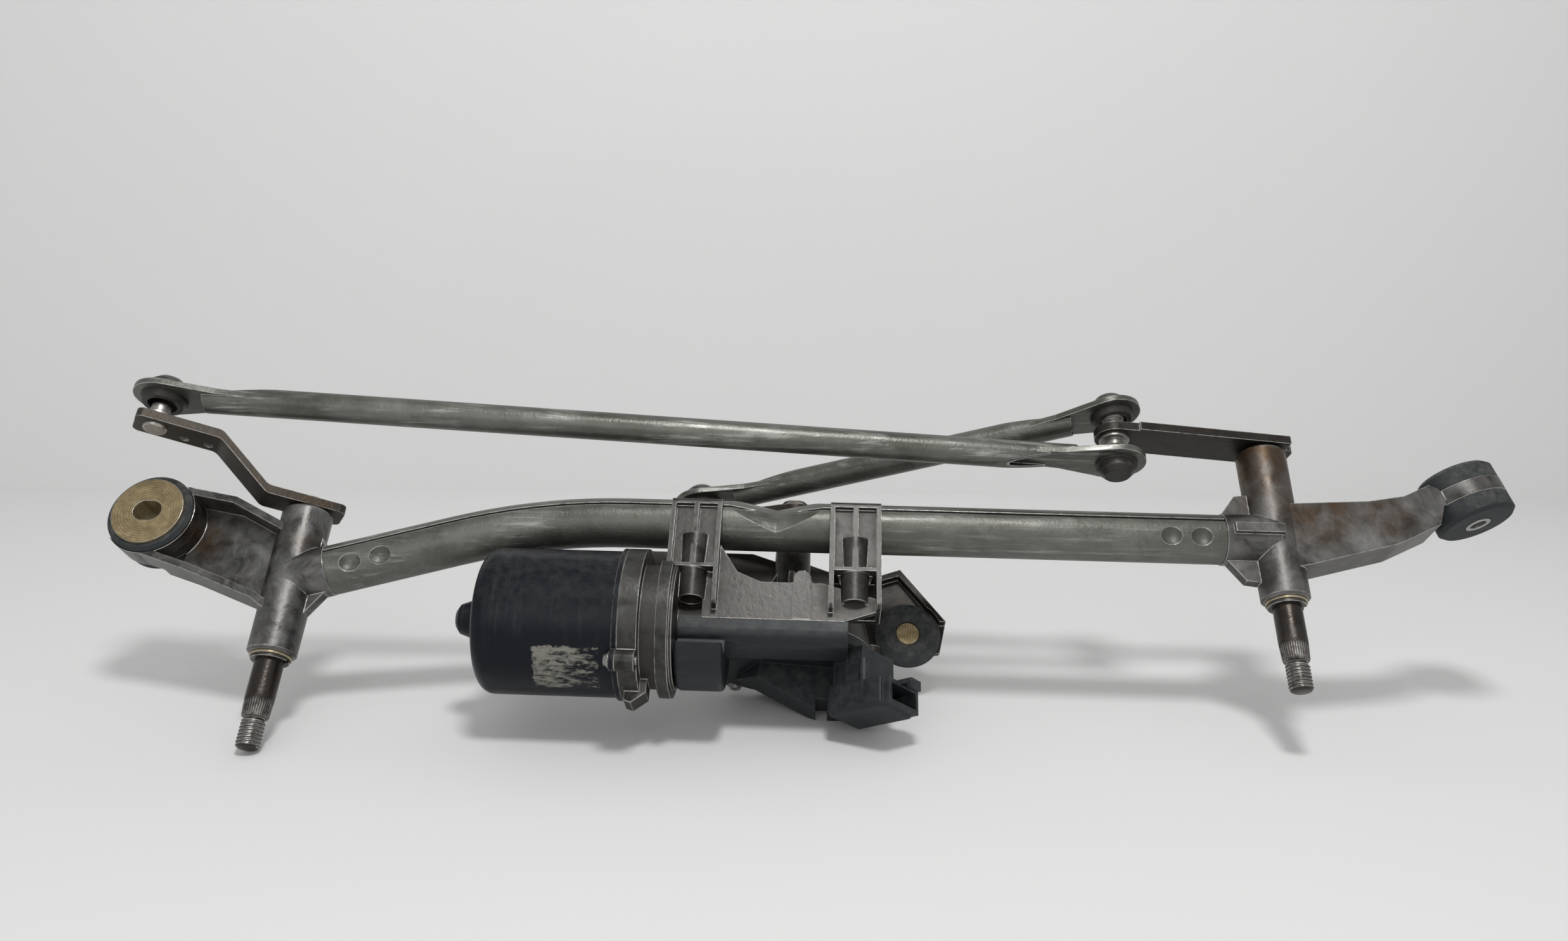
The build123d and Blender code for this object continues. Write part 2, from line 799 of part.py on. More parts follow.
def worm_wheel():
    """Plastic worm wheel with slanted teeth that run in the worm's thread."""
    root = wheel_radius - 1.2 * gear_module
    tip = wheel_radius + 0.95 * gear_module
    low = wheel_low()
    top = low + wheel_width
    body = disc(root + 0.05, low, top)
    body -= ring(root - 3.2, 10.5, low + 4.0, top + 1)
    body += disc(9.0, top - 0.5, top + 2.0)
    thick = tooth_pitch / 2 - tooth_gap
    flank = tan(radians(20))
    wide = thick / 2 + flank * (wheel_radius - root)
    thin = thick / 2 - flank * (tip - wheel_radius)
    outline = Polyline((root - 0.3, -wide), (tip, -thin), (tip, thin), (root - 0.3, wide), close=True)
    tooth = extrude(Pos(0, 0, 0.4 - wheel_width / 2) * make_face(outline), wheel_width - 0.8)
    tooth = Pos(0, 0, motor_z) * Rot(-lead_angle, 0, 0) * tooth
    start = -90 + 90 / wheel_teeth
    teeth = [Rot(0, 0, start + i * 360 / wheel_teeth) * tooth for i in range(wheel_teeth)]
    body = body.fuse(*teeth)
    body -= disc(output_radius, low - 5, top + 5)
    return Pos(output_x, output_y, 0) * body


def worm():
    """Single-start worm: a helical thread on a sleeve that sits on the motor shaft."""
    root = worm_radius - 1.2 * gear_module
    turns = 7
    length = turns * tooth_pitch
    thick = tooth_pitch / 2 - tooth_gap
    flank = tan(radians(20))
    tall = 0.95 * gear_module
    base = thick / 2 + flank * (worm_radius - root + 0.25)
    crest = thick / 2 - flank * tall
    path = Helix(tooth_pitch, length, worm_radius)
    profile = Polyline(
        (root - 0.25, 0, -base),
        (worm_radius + tall, 0, -crest),
        (worm_radius + tall, 0, crest),
        (root - 0.25, 0, base),
        close=True,
    )
    thread = sweep(make_face(profile), path=path, is_frenet=True)
    body = Pos(0, 0, -length / 2) * thread + disc(root, -length / 2 - 3, length / 2 + 3)
    return body - disc(shaft_core_radius, -length, length)


def motor_axis(shape, x):
    return along_x(shape, x, motor_y, motor_z)


def can():
    """Deep-drawn steel can about X with a rounded closed end and a bearing boss."""
    bend = 6.0
    outer = Cylinder(can_radius, can_length, align=UP)
    outer = fillet(outer.edges().sort_by(Axis.Z)[0], bend)
    inner = Pos(0, 0, can_wall) * Cylinder(can_radius - can_wall, can_length, align=UP)
    inner = fillet(inner.edges().sort_by(Axis.Z)[0], bend - can_wall)
    nose = turned(
        [
            (0, -nose_length),
            (4.2, -nose_length),
            (6.4, 1.6 - nose_length),
            (9.0, -3.8),
            (12.4, -3.2),
            (12.8, -2.0),
            (12.8, 1.0),
            (0, 1.0),
        ]
    )
    well_depth = nose_length - 1.6
    well = turned(
        [
            (0, -well_depth),
            (3.6, -well_depth),
            (bearing_well, 2.0 - well_depth),
            (bearing_well, 6.0),
            (0, 6.0),
        ]
    )
    lip = ring(can_radius + 1.2, can_radius - can_wall, can_length - 2.2, can_length)
    body = outer + nose + lip - inner - well
    for y, z in can_ears():
        ear = disc(ear_radius, can_length - 2.2, can_length, -z, y)
        body += ear - disc(can_radius - can_wall, can_length - 4, can_length + 1)
        body -= disc(screw_radius + 0.3, can_length - 4, can_length + 1, -z, y)
    return motor_axis(body, can_mouth_x - can_length)


def on_motor(shape):
    return motor_axis(shape, can_mouth_x)


def gear_housing():
    """Die-cast housing: gear bowl, worm tunnel, output boss, motor neck and tube arms."""
    bowl_y = output_y - bowl_shift
    bowl = Cone(housing_radius, housing_radius - housing_taper, housing_depth, align=UP)
    bowl = Pos(output_x, bowl_y, parting_z) * bowl
    bowl = fillet(bowl.edges().sort_by(Axis.Z)[-1], 2.5)
    boss = turned(
        [
            (0, housing_top - 1),
            (boss_radius + 8, housing_top - 1),
            (boss_radius + 3, housing_top + 4),
            (boss_radius, housing_top + 12),
            (boss_radius - 0.6, boss_top),
            (0, boss_top),
        ]
    )
    body = bowl + Pos(output_x, output_y, 0) * boss
    for turn in (30, 150, 210, 270, 330):
        fin = slab(
            [
                (boss_radius - 2, housing_top - 1),
                (housing_radius - 14, housing_top - 1),
                (boss_radius + 1.5, housing_top + 18),
                (boss_radius - 2, housing_top + 24),
            ],
            -1.2,
            1.2,
        )
        body += Pos(output_x, output_y, 0) * Rot(0, 0, turn) * fin
    body += motor_axis(Cylinder(tunnel_radius, tunnel_end() - can_mouth_x, align=UP), can_mouth_x)
    body += front_wall() + motor_neck()
    for y, z in can_ears():
        body += along_x(Cylinder(ear_radius, neck_flange, align=UP), can_mouth_x, motor_y + y, motor_z + z)
    for side in (-1, 1):
        body += tube_arm(arm_middle_x + side * arm_spacing / 2)
    body += front_post()
    for x, y in cover_screw_places():
        body += disc(4.2, parting_z, parting_z + 9, x, y)
    cavity = Pos(output_x, bowl_y, parting_z) * Cone(
        housing_radius - housing_wall,
        housing_radius - housing_taper - housing_wall,
        housing_depth - housing_wall,
        align=UP,
    )
    body -= cavity
    bore = Cylinder(bearing_radius + 0.03, tunnel_end() - can_mouth_x - 1.5, align=UP)
    body -= motor_axis(bore, can_mouth_x - 0.5)
    body -= motor_axis(Cylinder(can_radius - 6, neck_flange - 1.2, align=UP), can_mouth_x - 0.5)
    body -= disc(output_radius + 2.0, housing_top - 8, boss_top + 2, output_x, output_y)
    for y, z in can_ears():
        hole = Cylinder(screw_radius + 0.05, 20, align=UP)
        body -= along_x(hole, can_mouth_x - 1, motor_y + y, motor_z + z)
    reach = wheel_radius + gear_module + 1.0
    body -= disc(reach, wheel_low() - 0.6, wheel_low() + wheel_width + 0.6, output_x, output_y)
    for x, y in cover_screw_places():
        body -= disc(screw_radius + 0.05, parting_z - 1, parting_z + 8, x, y)
    for x, y in bracket_screw_places():
        body -= disc(screw_radius + 0.05, housing_top - 9, housing_top + 1, x, y)
    return body


def front_post():
    """Round-headed upright on the front of the bowl."""
    front = output_y - bowl_shift - housing_radius
    x = output_x + 5.5
    high = housing_top + 1.6
    post = block(x - 3.6, x + 3.6, front - 2.6, front + 6.5, parting_z + 0.4, high)
    head = along_y(Cylinder(3.6, 9.1, align=UP), x, front - 2.6, high)
    return post + head


def tube_arm(x):
    """Flat ribbed arm that hugs the tube from the front, with a screw sleeve under the tube."""
    half = arm_width / 2
    rim = 2.0
    top = tube_height + 5.5
    foot = parting_z + 4.0
    arm = block(x - half, x + half, arm_front, 1.0, foot, top)
    arm = fillet(arm.edges().filter_by(Axis.X).group_by(Axis.Y)[0], 2.0)
    for side in (-1, 1):
        inner = x + side * 1.1
        outer = x + side * (half - rim)
        arm -= block(min(inner, outer), max(inner, outer), arm_front - 1, arm_front + 2.6, 82.0, top - 3.0)
    arm -= block(x - half + rim, x + half - rim, arm_front - 1, -2.2, foot - 1, 80.5)
    bore = along_x(Cylinder(tube_radius + spigot_gap, arm_width + 2, align=UP), x - half - 1, 0, tube_height)
    arm -= bore
    y = arm_front + 6.6
    sleeve_top = tube_height - tube_radius - 0.5
    post = Cone(sleeve_radius, sleeve_radius + 1.2, sleeve_top - sleeve_foot, align=UP)
    post = Pos(x, y, sleeve_foot) * post
    link = block(x - 3.0, x + 3.0, y, 0.5, 76.0, sleeve_top)
    arm += post + link
    for side in (-1, 1):
        ear = slab(
            [
                (x + side * (half - 0.6), 90.0),
                (x + side * 4.0, 90.0),
                (x + side * 4.0, 76.0),
                (x + side * 6.2, 76.0),
            ],
            y - 1.2,
            y + 1.2,
        )
        arm += ear
    arm -= disc(sleeve_bore, sleeve_foot - 1, sleeve_foot + 22, x, y)
    return arm


def cover_body():
    """Outside of the moulded gear cover above its connector."""
    bowl_y = output_y - bowl_shift
    low = parting_z - cover_depth
    body = disc(housing_radius, low, parting_z, output_x, bowl_y)
    body = chamfer(body.edges().sort_by(Axis.Z)[0], 1.2)
    for x, y in cover_screw_places():
        body += disc(4.2, low + 1.6, parting_z, x, y)
    body += drum(0.0) + worm_hood()
    return body


def gear_cover():
    """Moulded gear cover: shallow bowl, brush drum, sloping duct and connector socket."""
    bowl_y = output_y - bowl_shift
    low = parting_z - cover_depth
    body = cover_body() + duct() + socket_shell()
    body -= under_floor()
    body -= disc(housing_radius - housing_wall, low + cover_wall, parting_z + 1, output_x, bowl_y)
    body -= drum(cover_wall)
    pocket = plate(
        [
            (output_x - 6, duct_back - 4),
            (output_x - 6, duct_front + 4),
            (output_x + 30, duct_front + 8),
            (output_x + 30, duct_back - 4),
        ],
        low - 4,
        low + 5,
    )
    body -= pocket
    body -= motor_axis(Cylinder(tunnel_radius + 0.1, tunnel_end() + 0.1 - can_mouth_x, align=UP), can_mouth_x)
    for x, y in cover_screw_places():
        body -= disc(screw_radius + 0.25, low - 5, parting_z + 1, x, y)
        body -= disc(3.8, low - 9, low + 1.6, x, y)
    return body


def duct():
    """Sloping duct that carries the wires from the wheel's contacts to the connector."""
    slope = degrees(atan2(12.8, 25.4))
    body = plate(
        [
            (output_x - 24, duct_back),
            (output_x - 13, duct_front),
            (output_x + 21, duct_front + 4.5),
            (output_x + duct_reach, duct_front + 5.5),
            (output_x + 41, duct_front - 4),
            (output_x + 45, duct_front + 4),
            (output_x + duct_reach, duct_back),
        ],
        duct_low,
        parting_z - cover_depth + 1,
    )
    body -= Pos(output_x + 12.4, 0, duct_low) * Rot(0, slope, 0) * block(-80, 0, -60, 80, -40, 0)
    body -= block(output_x + 12.4, output_x + 17.6, 0, 80, 0, duct_low + 5)
    return body - under_floor()


def under_floor():
    """Everything below the slanting face that the cover rests on when it lies down."""
    lean = degrees(atan2(floor_lean, 1.0))
    return Pos(0, 0, 0.4) * Rot(lean, 0, 0) * block(-200, 200, -100, 200, -80, 0)


def socket_frame():
    return Pos(socket_x, socket_y, socket_floor) * Rot(0, 0, socket_angle)


def socket_shell():
    """Connector socket at the end of the duct, open on its outer end, with a latch hook."""
    half_l = socket_length / 2
    half_w = socket_width / 2
    shell = block(-half_l, half_l, -half_w, half_w, 0, socket_height)
    shell = fillet(shell.edges().filter_by(Axis.X).group_by(Axis.Z)[0], 3.0)
    shell = fillet(shell.edges().filter_by(Axis.Z), 1.2)
    top = parting_z - cover_depth + 1 - socket_floor
    neck = block(-half_l + 2, half_l - 10, -half_w + 1, half_w, socket_height - 1, top)
    mouth = block(half_l - 1, half_l + 3.5, -half_w + 1.5, half_w - 1.5, 1.0, socket_height - 0.8)
    hook = block(half_l - 6, half_l + 9.5, -3.5, 3.5, socket_height - 2.0, socket_height)
    hook += block(half_l + 7.4, half_l + 9.5, -3.5, 3.5, socket_height - 4.2, socket_height)
    inner = half_w - 1.5 - socket_wall
    roof = socket_height - 0.8 - socket_wall
    room = block(-half_l + 10, half_l + 4.5, -inner, inner, 1.0 + socket_wall, roof)
    rib = disc(2.2, socket_height - 4, top - 6, half_l - 10, -half_w + 2.0)
    return socket_frame() * (shell + neck + mouth + hook + rib - room)


def connector_pins():
    pins = []
    for row in (-1, 0, 1):
        pin = block(-socket_length / 2 + 10, socket_length / 2 - 7, row * 4.4 - 1.2, row * 4.4 + 1.2, 0, 0.8)
        pins.append(socket_frame() * Pos(0, 0, socket_height / 2 - 0.7) * pin)
    return joined(pins)


def third_bracket():
    """Pressed steel bracket: foot on the bowl, upright wall and an arm round the rubber."""
    back = wall_y + wall_thickness
    hood_front = wall_y - 5.0
    peak = (roller_x - 3.4, roller_z + 32.0)
    tip = (roller_x + 17.8, roller_z + 6.0)
    wall = slab(
        [
            (can_mouth_x + 2, housing_top + 14),
            (can_mouth_x - 3, wall_top),
            (output_x - 20, wall_top),
            (output_x - 9, wall_top - 3.7),
            (output_x + 2, wall_top - 3.0),
            (roller_x - 20, roller_z + 26.0),
            peak,
            tip,
            (roller_x + 15, roller_z - 8.0),
            (roller_x - 15, roller_z - 10.0),
            (output_x + 29, housing_top + 0.1),
            (output_x - 29, housing_top + 0.1),
        ],
        wall_y,
        back,
        1.5,
    )
    hood = slab(
        [
            (roller_x - 20, roller_z + 23.4),
            (roller_x - 20, roller_z + 26.0),
            peak,
            tip,
            (tip[0] - 2.9, tip[1]),
            (peak[0] - 0.8, peak[1] - 3.2),
        ],
        hood_front,
        back,
    )
    seat = housing_top + 0.1
    foot = block(output_x - 14, output_x + 14, wall_y, back + 6, seat, seat + wall_thickness)
    body = wall + hood + foot
    for x, y in bracket_screw_places():
        body -= disc(screw_radius + 0.3, housing_top - 1, housing_top + 9, x, y)
    eye = along_y(Cylinder(pin_radius + 6.2, 40, align=UP), roller_x, wall_y - 20, roller_z)
    room = along_y(Cylinder(roller_radius + 0.4, 20, align=UP), roller_x, wall_y - 20, roller_z)
    return body - eye - room


def roller_rubber():
    """Grooved rubber that the bracket's eye snaps into, with a smaller back lip."""
    half = roller_length / 2
    wall = wall_y + wall_thickness / 2 - roller_front - half
    lip = 2.4
    groove = wall_thickness / 2 + 0.1
    back = roller_radius - 2.2
    points = [
        (pin_radius, -half),
        (roller_radius - 4.5, -half),
        (roller_radius - lip, -half + 0.8),
        (roller_radius, -half + 0.8 + lip / 2),
        (roller_radius, wall - groove),
        (pin_radius + 6.1, wall - groove),
        (pin_radius + 6.1, wall + groove),
        (back, wall + groove),
        (back, half - 1.2),
        (back - 1.2, half),
        (pin_radius, half),
    ]
    return along_y(turned(points), roller_x, roller_front + half, roller_z)


def roller_pin():
    pin = Cylinder(pin_radius - 0.02, roller_length, align=UP)
    pin = chamfer(pin.edges().filter_by(GeomType.CIRCLE), 0.8)
    return along_y(pin, roller_x, roller_front, roller_z)


def can_ears():
    """Places of the two through screws, beside the motor axis (Y and Z)."""
    reach = can_radius + 3.6
    return [(reach * cos(radians(a)), reach * sin(radians(a))) for a in (-133.0, 47.0)]


def cover_screw_places():
    """Cover screws on lugs round the bowl."""
    reach = housing_radius + 2.2
    bowl_y = output_y - bowl_shift
    return [
        (output_x + reach * cos(radians(a)), bowl_y + reach * sin(radians(a))) for a in (18.0, 130.0, -170.0)
    ]


def rod_trim(side, flip):
    """What a press takes off a tube rod at one end: the roof of the trough and the eye's room."""
    half = eye_thickness / 2
    lean = degrees(atan2(rod_radius, rod_trough * 0.55))
    roof = Pos(rod_trough * 0.4, 0, rod_radius * 0.1) * (Rot(0, -lean, 0) * block(-90, 80, -20, 20, 0, 60))
    trim = roof + block(-20, rod_trough * 0.5, -20, 20, half, 20)
    trim += disc(eye_radius + 8, half, 30)
    if side < 0:
        trim = mirror(trim, Plane.XY)
    if flip < 0:
        trim = mirror(trim, Plane.YZ)
    return trim


def output_rings():
    """Bronze bushes in the boss, with the thrust washer and circlip above them."""
    outer = output_radius + 2.0
    hole = output_radius + running_gap
    bushes = ring(outer - 0.02, hole, housing_top - 6, housing_top + 8, output_x, output_y)
    bushes += ring(outer - 0.02, hole, boss_top - 15, boss_top - 1, output_x, output_y)
    washer_low = boss_top + face_gap
    washer_high = washer_low + washer_thickness
    washer = ring(boss_radius, output_radius + 0.1, washer_low, washer_high, output_x, output_y)
    clip_low = washer_high + face_gap
    clip = ring(output_radius + 2.2, output_radius - 0.45, clip_low, clip_low + 1.0, output_x, output_y)
    gap = block(0, output_radius + 3, -1.3, 1.3, clip_low - 1, clip_low + 2)
    gap = Pos(output_x, output_y, 0) * gap
    return bushes, washer, clip - gap


def wheel_low():
    return motor_z - wheel_width / 2


def contact_disc():
    low = wheel_low()
    plate_ring = ring(21.0, 12.0, low - 0.3, low, output_x, output_y)
    notch = block(output_x + 16, output_x + 24, output_y - 5, output_y + 5, low - 1, low + 1)
    return plate_ring - notch


def contact_springs():
    """Three leaf contacts that stand in the duct under the wheel's contact disc."""
    low = parting_z - cover_depth - 3.6
    springs = []
    for i in range(3):
        x = output_x + 2.0 + 7.5 * i
        y = duct_front + 9.0
        strip = block(x, x + 3.0, y, y + 6.5, low, low + 0.4)
        strip += block(x, x + 3.0, y, y + 0.4, low, wheel_low() - 0.8)
        springs.append(strip)
    return joined(springs)


def motor_shaft():
    start = 5.0 - can_length - nose_length
    end = shaft_end - can_mouth_x
    return on_motor(disc(shaft_core_radius - 0.01, start, end))


def armature_core():
    """Laminated core with twelve open slots."""
    low = core_start - can_length
    high = low + core_length
    core = disc(core_radius, low, high) - disc(shaft_core_radius, low - 1, high + 1)
    slot = block(11.5, core_radius - 2.0, -1.6, 1.6, low - 1, high + 1)
    slot += block(core_radius - 2.5, core_radius + 1, -0.8, 0.8, low - 1, high + 1)
    for i in range(12):
        core -= Rot(0, 0, 30 * i) * slot
    return on_motor(core)


def armature_windings():
    """Bundles of wire round both ends of the core."""
    low = core_start - can_length
    high = low + core_length
    hole = shaft_core_radius + 1.6
    rear = turned([(hole, low), (19.5, low), (18.6, low - 5.0), (9.0, low - 6.5), (hole, low - 4)])
    front = turned([(hole, high), (19.5, high), (18.6, high + 3.4), (11.0, high + 4.4), (hole, high + 4.4)])
    return on_motor(rear + front)


def commutator():
    low = core_start - can_length + core_length + 4.5
    body = ring(commutator_radius, shaft_core_radius, low, low + commutator_length)
    high = low + commutator_length
    groove = block(commutator_radius - 0.9, commutator_radius + 1, -0.25, 0.25, low + 1.5, high + 1)
    for i in range(12):
        body -= Rot(0, 0, 30 * i) * groove
    return on_motor(body)


def motor_magnets():
    low = core_start - can_length - 3.0
    magnets = ring(can_radius - can_wall - 0.1, core_radius + 0.7, low, low + core_length + 6.0)
    magnets -= block(-7, 7, -60, 60, low - 1, low + core_length + 8)
    return on_motor(magnets)


def brush_plate():
    """Insulating plate in the flange with two brush holders."""
    body = ring(can_radius - 6.2, commutator_radius + 1.4, -0.2, 1.8)
    for side in (-1, 1):
        y0 = commutator_radius + 1.6
        holder = block(-4.2, 4.2, y0, y0 + 11, -8.0, -0.2) - block(-2.9, 2.9, y0 - 1, y0 + 20, -6.8, -1.4)
        body += holder if side > 0 else mirror(holder, Plane.XZ)
    return on_motor(body)


def carbon_brushes():
    brush = block(-2.8, 2.8, 0.15, 9.6, -6.7, -1.5)
    brush = Pos(0, commutator_radius, 0) * brush
    return on_motor(joined([brush, mirror(brush, Plane.XZ)]))


def shaft_bearings():
    """Sintered bearings in the closed end of the can and at both ends of the worm."""
    hole = shaft_core_radius + running_gap
    rear_start = 6.0 - can_length - nose_length
    rear = ring(bearing_well - 0.03, hole, rear_start, rear_start + 5.0)
    start = neck_flange + 1.0
    middle = ring(bearing_radius, hole, start, start + 6)
    end = shaft_end - can_mouth_x
    front = ring(bearing_radius, hole, end - 5, end)
    return on_motor(rear), on_motor(middle + front)


def can_screws():
    screws = []
    for y, z in can_ears():
        screw = disc(screw_radius, -2.3, 9.0, -z, y) + disc(3.3, -4.4, -2.2, -z, y)
        screws.append(on_motor(screw))
    return joined(screws)


def cover_screws():
    screws = []
    low = parting_z - cover_depth + 1.6
    for x, y in cover_screw_places():
        screws.append(disc(screw_radius, low - 0.1, parting_z + 7.0, x, y) + disc(3.6, low - 2.4, low, x, y))
    return joined(screws)


def bracket_screw_places():
    return [(output_x - 8.0, wall_y + wall_thickness + 3.6), (output_x + 8.0, wall_y + wall_thickness + 3.6)]


def bracket_screws():
    screws = []
    low = housing_top + 0.1 + wall_thickness
    for x, y in bracket_screw_places():
        screws.append(disc(screw_radius, low - 8.0, low + 0.1, x, y) + Pos(x, y, low) * hexagon(6.4, 2.8))
    return joined(screws)


def lying_place():
    """How the assembly lies: on the left tip, the end of the duct and the cover's back edge."""
    back = output_y - bowl_shift + housing_radius
    feet = [parts["left_spindle"], duct(), cover_body() + parts["cover_screws"]]
    points = [
        Vector(left_x, thread_radius - 1, 0),
        Vector(output_x + duct_reach, duct_back, floor_lean * duct_back),
        Vector(output_x - 10, back, parting_z - cover_depth),
    ]
    for _ in range(6):
        tip, low_corner, rear = points
        up = (low_corner - tip).cross(rear - tip).normalized()
        if up.Z < 0:
            up = up * -1
        points = [point + up * (lowest(foot, up) - point.dot(up)) for foot, point in zip(feet, points)]
    along = (Vector(1, 0, 0) - up * up.X).normalized()
    return Plane(origin=points[0], x_dir=along, z_dir=up).location.inverse()


def tunnel_end():
    return shaft_end + 4.0


def drum_start():
    return can_mouth_x + neck_length + 0.6


def drum(shrink):
    """Lower half of the brush drum, stepped back under the tube arms."""
    body = Cylinder(drum_radius - shrink, drum_length - 2 * shrink, align=UP)
    body = motor_axis(body, drum_start() + shrink)
    if shrink == 0:
        body = fillet(body.edges().filter_by(GeomType.CIRCLE), 2.0)
    body -= block(-200, 200, -200, 200, parting_z - shrink, 200)
    return body - block(-200, 200, -200, motor_y - 8 + shrink, drum_ledge - shrink, 200)


def worm_hood():
    """Trough of the cover under the worm: upright front and a rounded lower edge."""
    radius = tunnel_radius + 0.1 + cover_wall
    front = worm_front()
    low = motor_z - radius
    hood = block(drum_start(), tunnel_end() + cover_wall, front, motor_y + 9, low, parting_z)
    hood = fillet(hood.edges().filter_by(Axis.X).group_by(Axis.Z)[0].sort_by(Axis.Y)[0], 6.0)
    return hood


def lowest(shape, up):
    """Height of a shape's lowest point, measured along a given upward direction."""
    level = Plane(origin=(0, 0, 0), z_dir=up).location.inverse()
    return (level * shape).bounding_box().min.Z


def motor_neck():
    """Neck between the can and the gear bowl: flange, groove, second ring, flat top and foot lug."""
    neck = motor_axis(Cylinder(motor_neck_radius, neck_length, align=UP), can_mouth_x)
    second = Cylinder(motor_neck_radius + 3.6, neck_ring, align=UP)
    neck += motor_axis(second, can_mouth_x + neck_length - neck_ring - 1.4)
    neck -= block(-200, 200, -60, 60, motor_z + neck_shelf, 200)
    neck += motor_axis(Cylinder(can_radius + 1.2, neck_flange, align=UP), can_mouth_x)
    low = -can_radius
    lug = slab([(0, low + 2), (0, low - 4.6), (3, low - 5.6), (9, low - 1), (9, low + 6)], -6, 5)
    neck += Pos(can_mouth_x + 2, motor_y, motor_z) * lug
    back = plate(
        [
            (can_mouth_x + 4, motor_y + 4),
            (can_mouth_x + neck_length + 20, motor_y + 4),
            (can_mouth_x + neck_length + 20, motor_y + 7),
            (can_mouth_x + 4, motor_y + 7),
        ],
        motor_z + 4,
        housing_top + 12,
    )
    return neck + back


def worm_front():
    """Front face shared by the housing's wall and the cover's trough."""
    return motor_y - tunnel_radius - 0.1 - cover_wall


def front_wall():
    """Upright wall in front of the worm, with a gusset that rises to the left arm."""
    left = arm_middle_x - arm_spacing / 2 + arm_width / 2 - 1
    right = arm_middle_x + arm_spacing / 2 + arm_width / 2 - 1
    front = worm_front()
    wall = slab(
        [
            (left - 5, parting_z),
            (tunnel_end(), parting_z),
            (right, parting_z + 5),
            (right, housing_top - 7),
            (output_x + 14, housing_top - 0.4),
            (output_x - 12, housing_top - 0.4),
            (left + 9, housing_top + 4),
            (left, housing_top + 18),
            (left - 5, housing_top + 18),
        ],
        front,
        front + front_wall_thickness,
    )
    return wall + block(left - 5, tunnel_end(), front, motor_y, parting_z, parting_z + 5)


def add(name, shape):
    parts[name] = shape


def make_parts():
    left_washer, left_clip = spindle_rings(left_barrel_foot)
    right_washer, right_clip = spindle_rings(right_barrel_foot)
    left_rubber, left_sleeve = left_mount()
    right_rubber, right_sleeve = right_mount()
    output_bushes, output_washer, output_clip = output_rings()
    can_bearing, worm_bearings = shaft_bearings()
    at_left = Pos(left_x, 0, 0)
    at_right = Pos(right_x, 0, 0)

    # Frame
    add("frame_tube", frame_tube())
    add("left_pivot_housing", left_housing())
    add("right_pivot_housing", right_housing())
    add("left_spindle_bushes", at_left * spindle_bushes(left_barrel_foot, left_barrel_top))
    add("right_spindle_bushes", at_right * spindle_bushes(right_barrel_foot, right_barrel_top))
    add("left_thrust_washer", at_left * left_washer)
    add("right_thrust_washer", at_right * right_washer)
    add("left_grommet", left_rubber)
    add("left_grommet_sleeve", left_sleeve)
    add("right_grommet", right_rubber)
    add("right_grommet_sleeve", right_sleeve)

    # Motor, gear housing and third mount
    add("gear_housing", gear_housing())
    add("gear_cover", gear_cover())
    add("cover_screws", cover_screws())
    add("connector_pins", connector_pins())
    add("contact_springs", contact_springs())
    add("motor_can", can())
    add("can_screws", can_screws())
    add("motor_magnets", motor_magnets())
    add("can_bearing", can_bearing)
    add("worm_bearings", worm_bearings)
    add("brush_plate", brush_plate())
    add("carbon_brushes", carbon_brushes())
    add("output_bushes", output_bushes)
    add("third_mount_bracket", third_bracket())
    add("bracket_screws", bracket_screws())
    add("third_mount_rubber", roller_rubber())
    add("third_mount_pin", roller_pin())

    # Armature
    add("motor_shaft", motor_shaft())
    add("armature_core", armature_core())
    add("armature_windings", armature_windings())
    add("commutator", commutator())
    add("worm", motor_axis(worm(), output_x))

    # Output shaft, wheel and crank
    add("output_shaft", output_shaft())
    add("output_thrust_washer", output_washer)
    add("output_circlip", output_clip)
    add("worm_wheel", worm_wheel())
    add("contact_disc", contact_disc())
    add("crank_arm", crank_arm())
    add("crank_nut", crank_nut())
    crank_boot = crank_ball_z - eye_thickness / 2 - boot_height - 1.4
    add("crank_pin", open_stud(crank_ball_x, crank_ball_y, crank_bottom, crank_top, crank_boot))

    # Right rocker
    add("right_spindle", at_right * spindle(right_rise, right_barrel_foot, right_lever_z))
    add("right_circlip", at_right * right_clip)
    add("right_lever", right_lever())
    add("right_double_ball_pin", ball_pair())

    # Left rocker
    add("left_spindle", at_left * spindle(0.0, left_barrel_foot, left_lever_z))
    add("left_circlip", at_left * left_clip)
    add("left_lever", left_lever())
    left_boot = left_ball_z - eye_thickness / 2 - boot_height
    left_top = left_step_z + lever_thickness
    add("left_pin", open_stud(left_ball_x, left_ball_y, left_step_z, left_top, left_boot))

    # Rods
    link_length = sqrt(link_span**2 + (left_ball_z - lower_ball_z) ** 2)
    link = rod_place(right_ball_x, right_ball_y, lower_ball_z, left_ball_x, left_ball_y, left_ball_z)
    add("long_rod", link * rod(link_length, -1, 1))
    add("long_rod_right_socket", link * socket(-1))
    add("long_rod_left_socket", link * Pos(link_length, 0, 0) * socket(1))
    drive_length = sqrt(drive_span**2 + (upper_ball_z - crank_ball_z) ** 2)
    drive = rod_place(right_ball_x, right_ball_y, upper_ball_z, crank_ball_x, crank_ball_y, crank_ball_z)
    add("drive_rod", drive * rod(drive_length, 1, 1))
    add("drive_rod_lever_socket", drive * socket(1))
    add("drive_rod_crank_socket", drive * Pos(drive_length, 0, 0) * socket(1))


def lay_down():
    """Lay everything on its lowest points, with the origin under the middle of its box."""
    lying = lying_place()
    laid = {name: lying * shape for name, shape in parts.items()}
    boxes = [shape.bounding_box() for shape in laid.values()]
    x = (min(b.min.X for b in boxes) + max(b.max.X for b in boxes)) / 2
    y = (min(b.min.Y for b in boxes) + max(b.max.Y for b in boxes)) / 2
    z = min(b.min.Z for b in boxes)
    move = Pos(-x, -y, -z)
    return move * lying, {name: move * shape for name, shape in laid.items()}


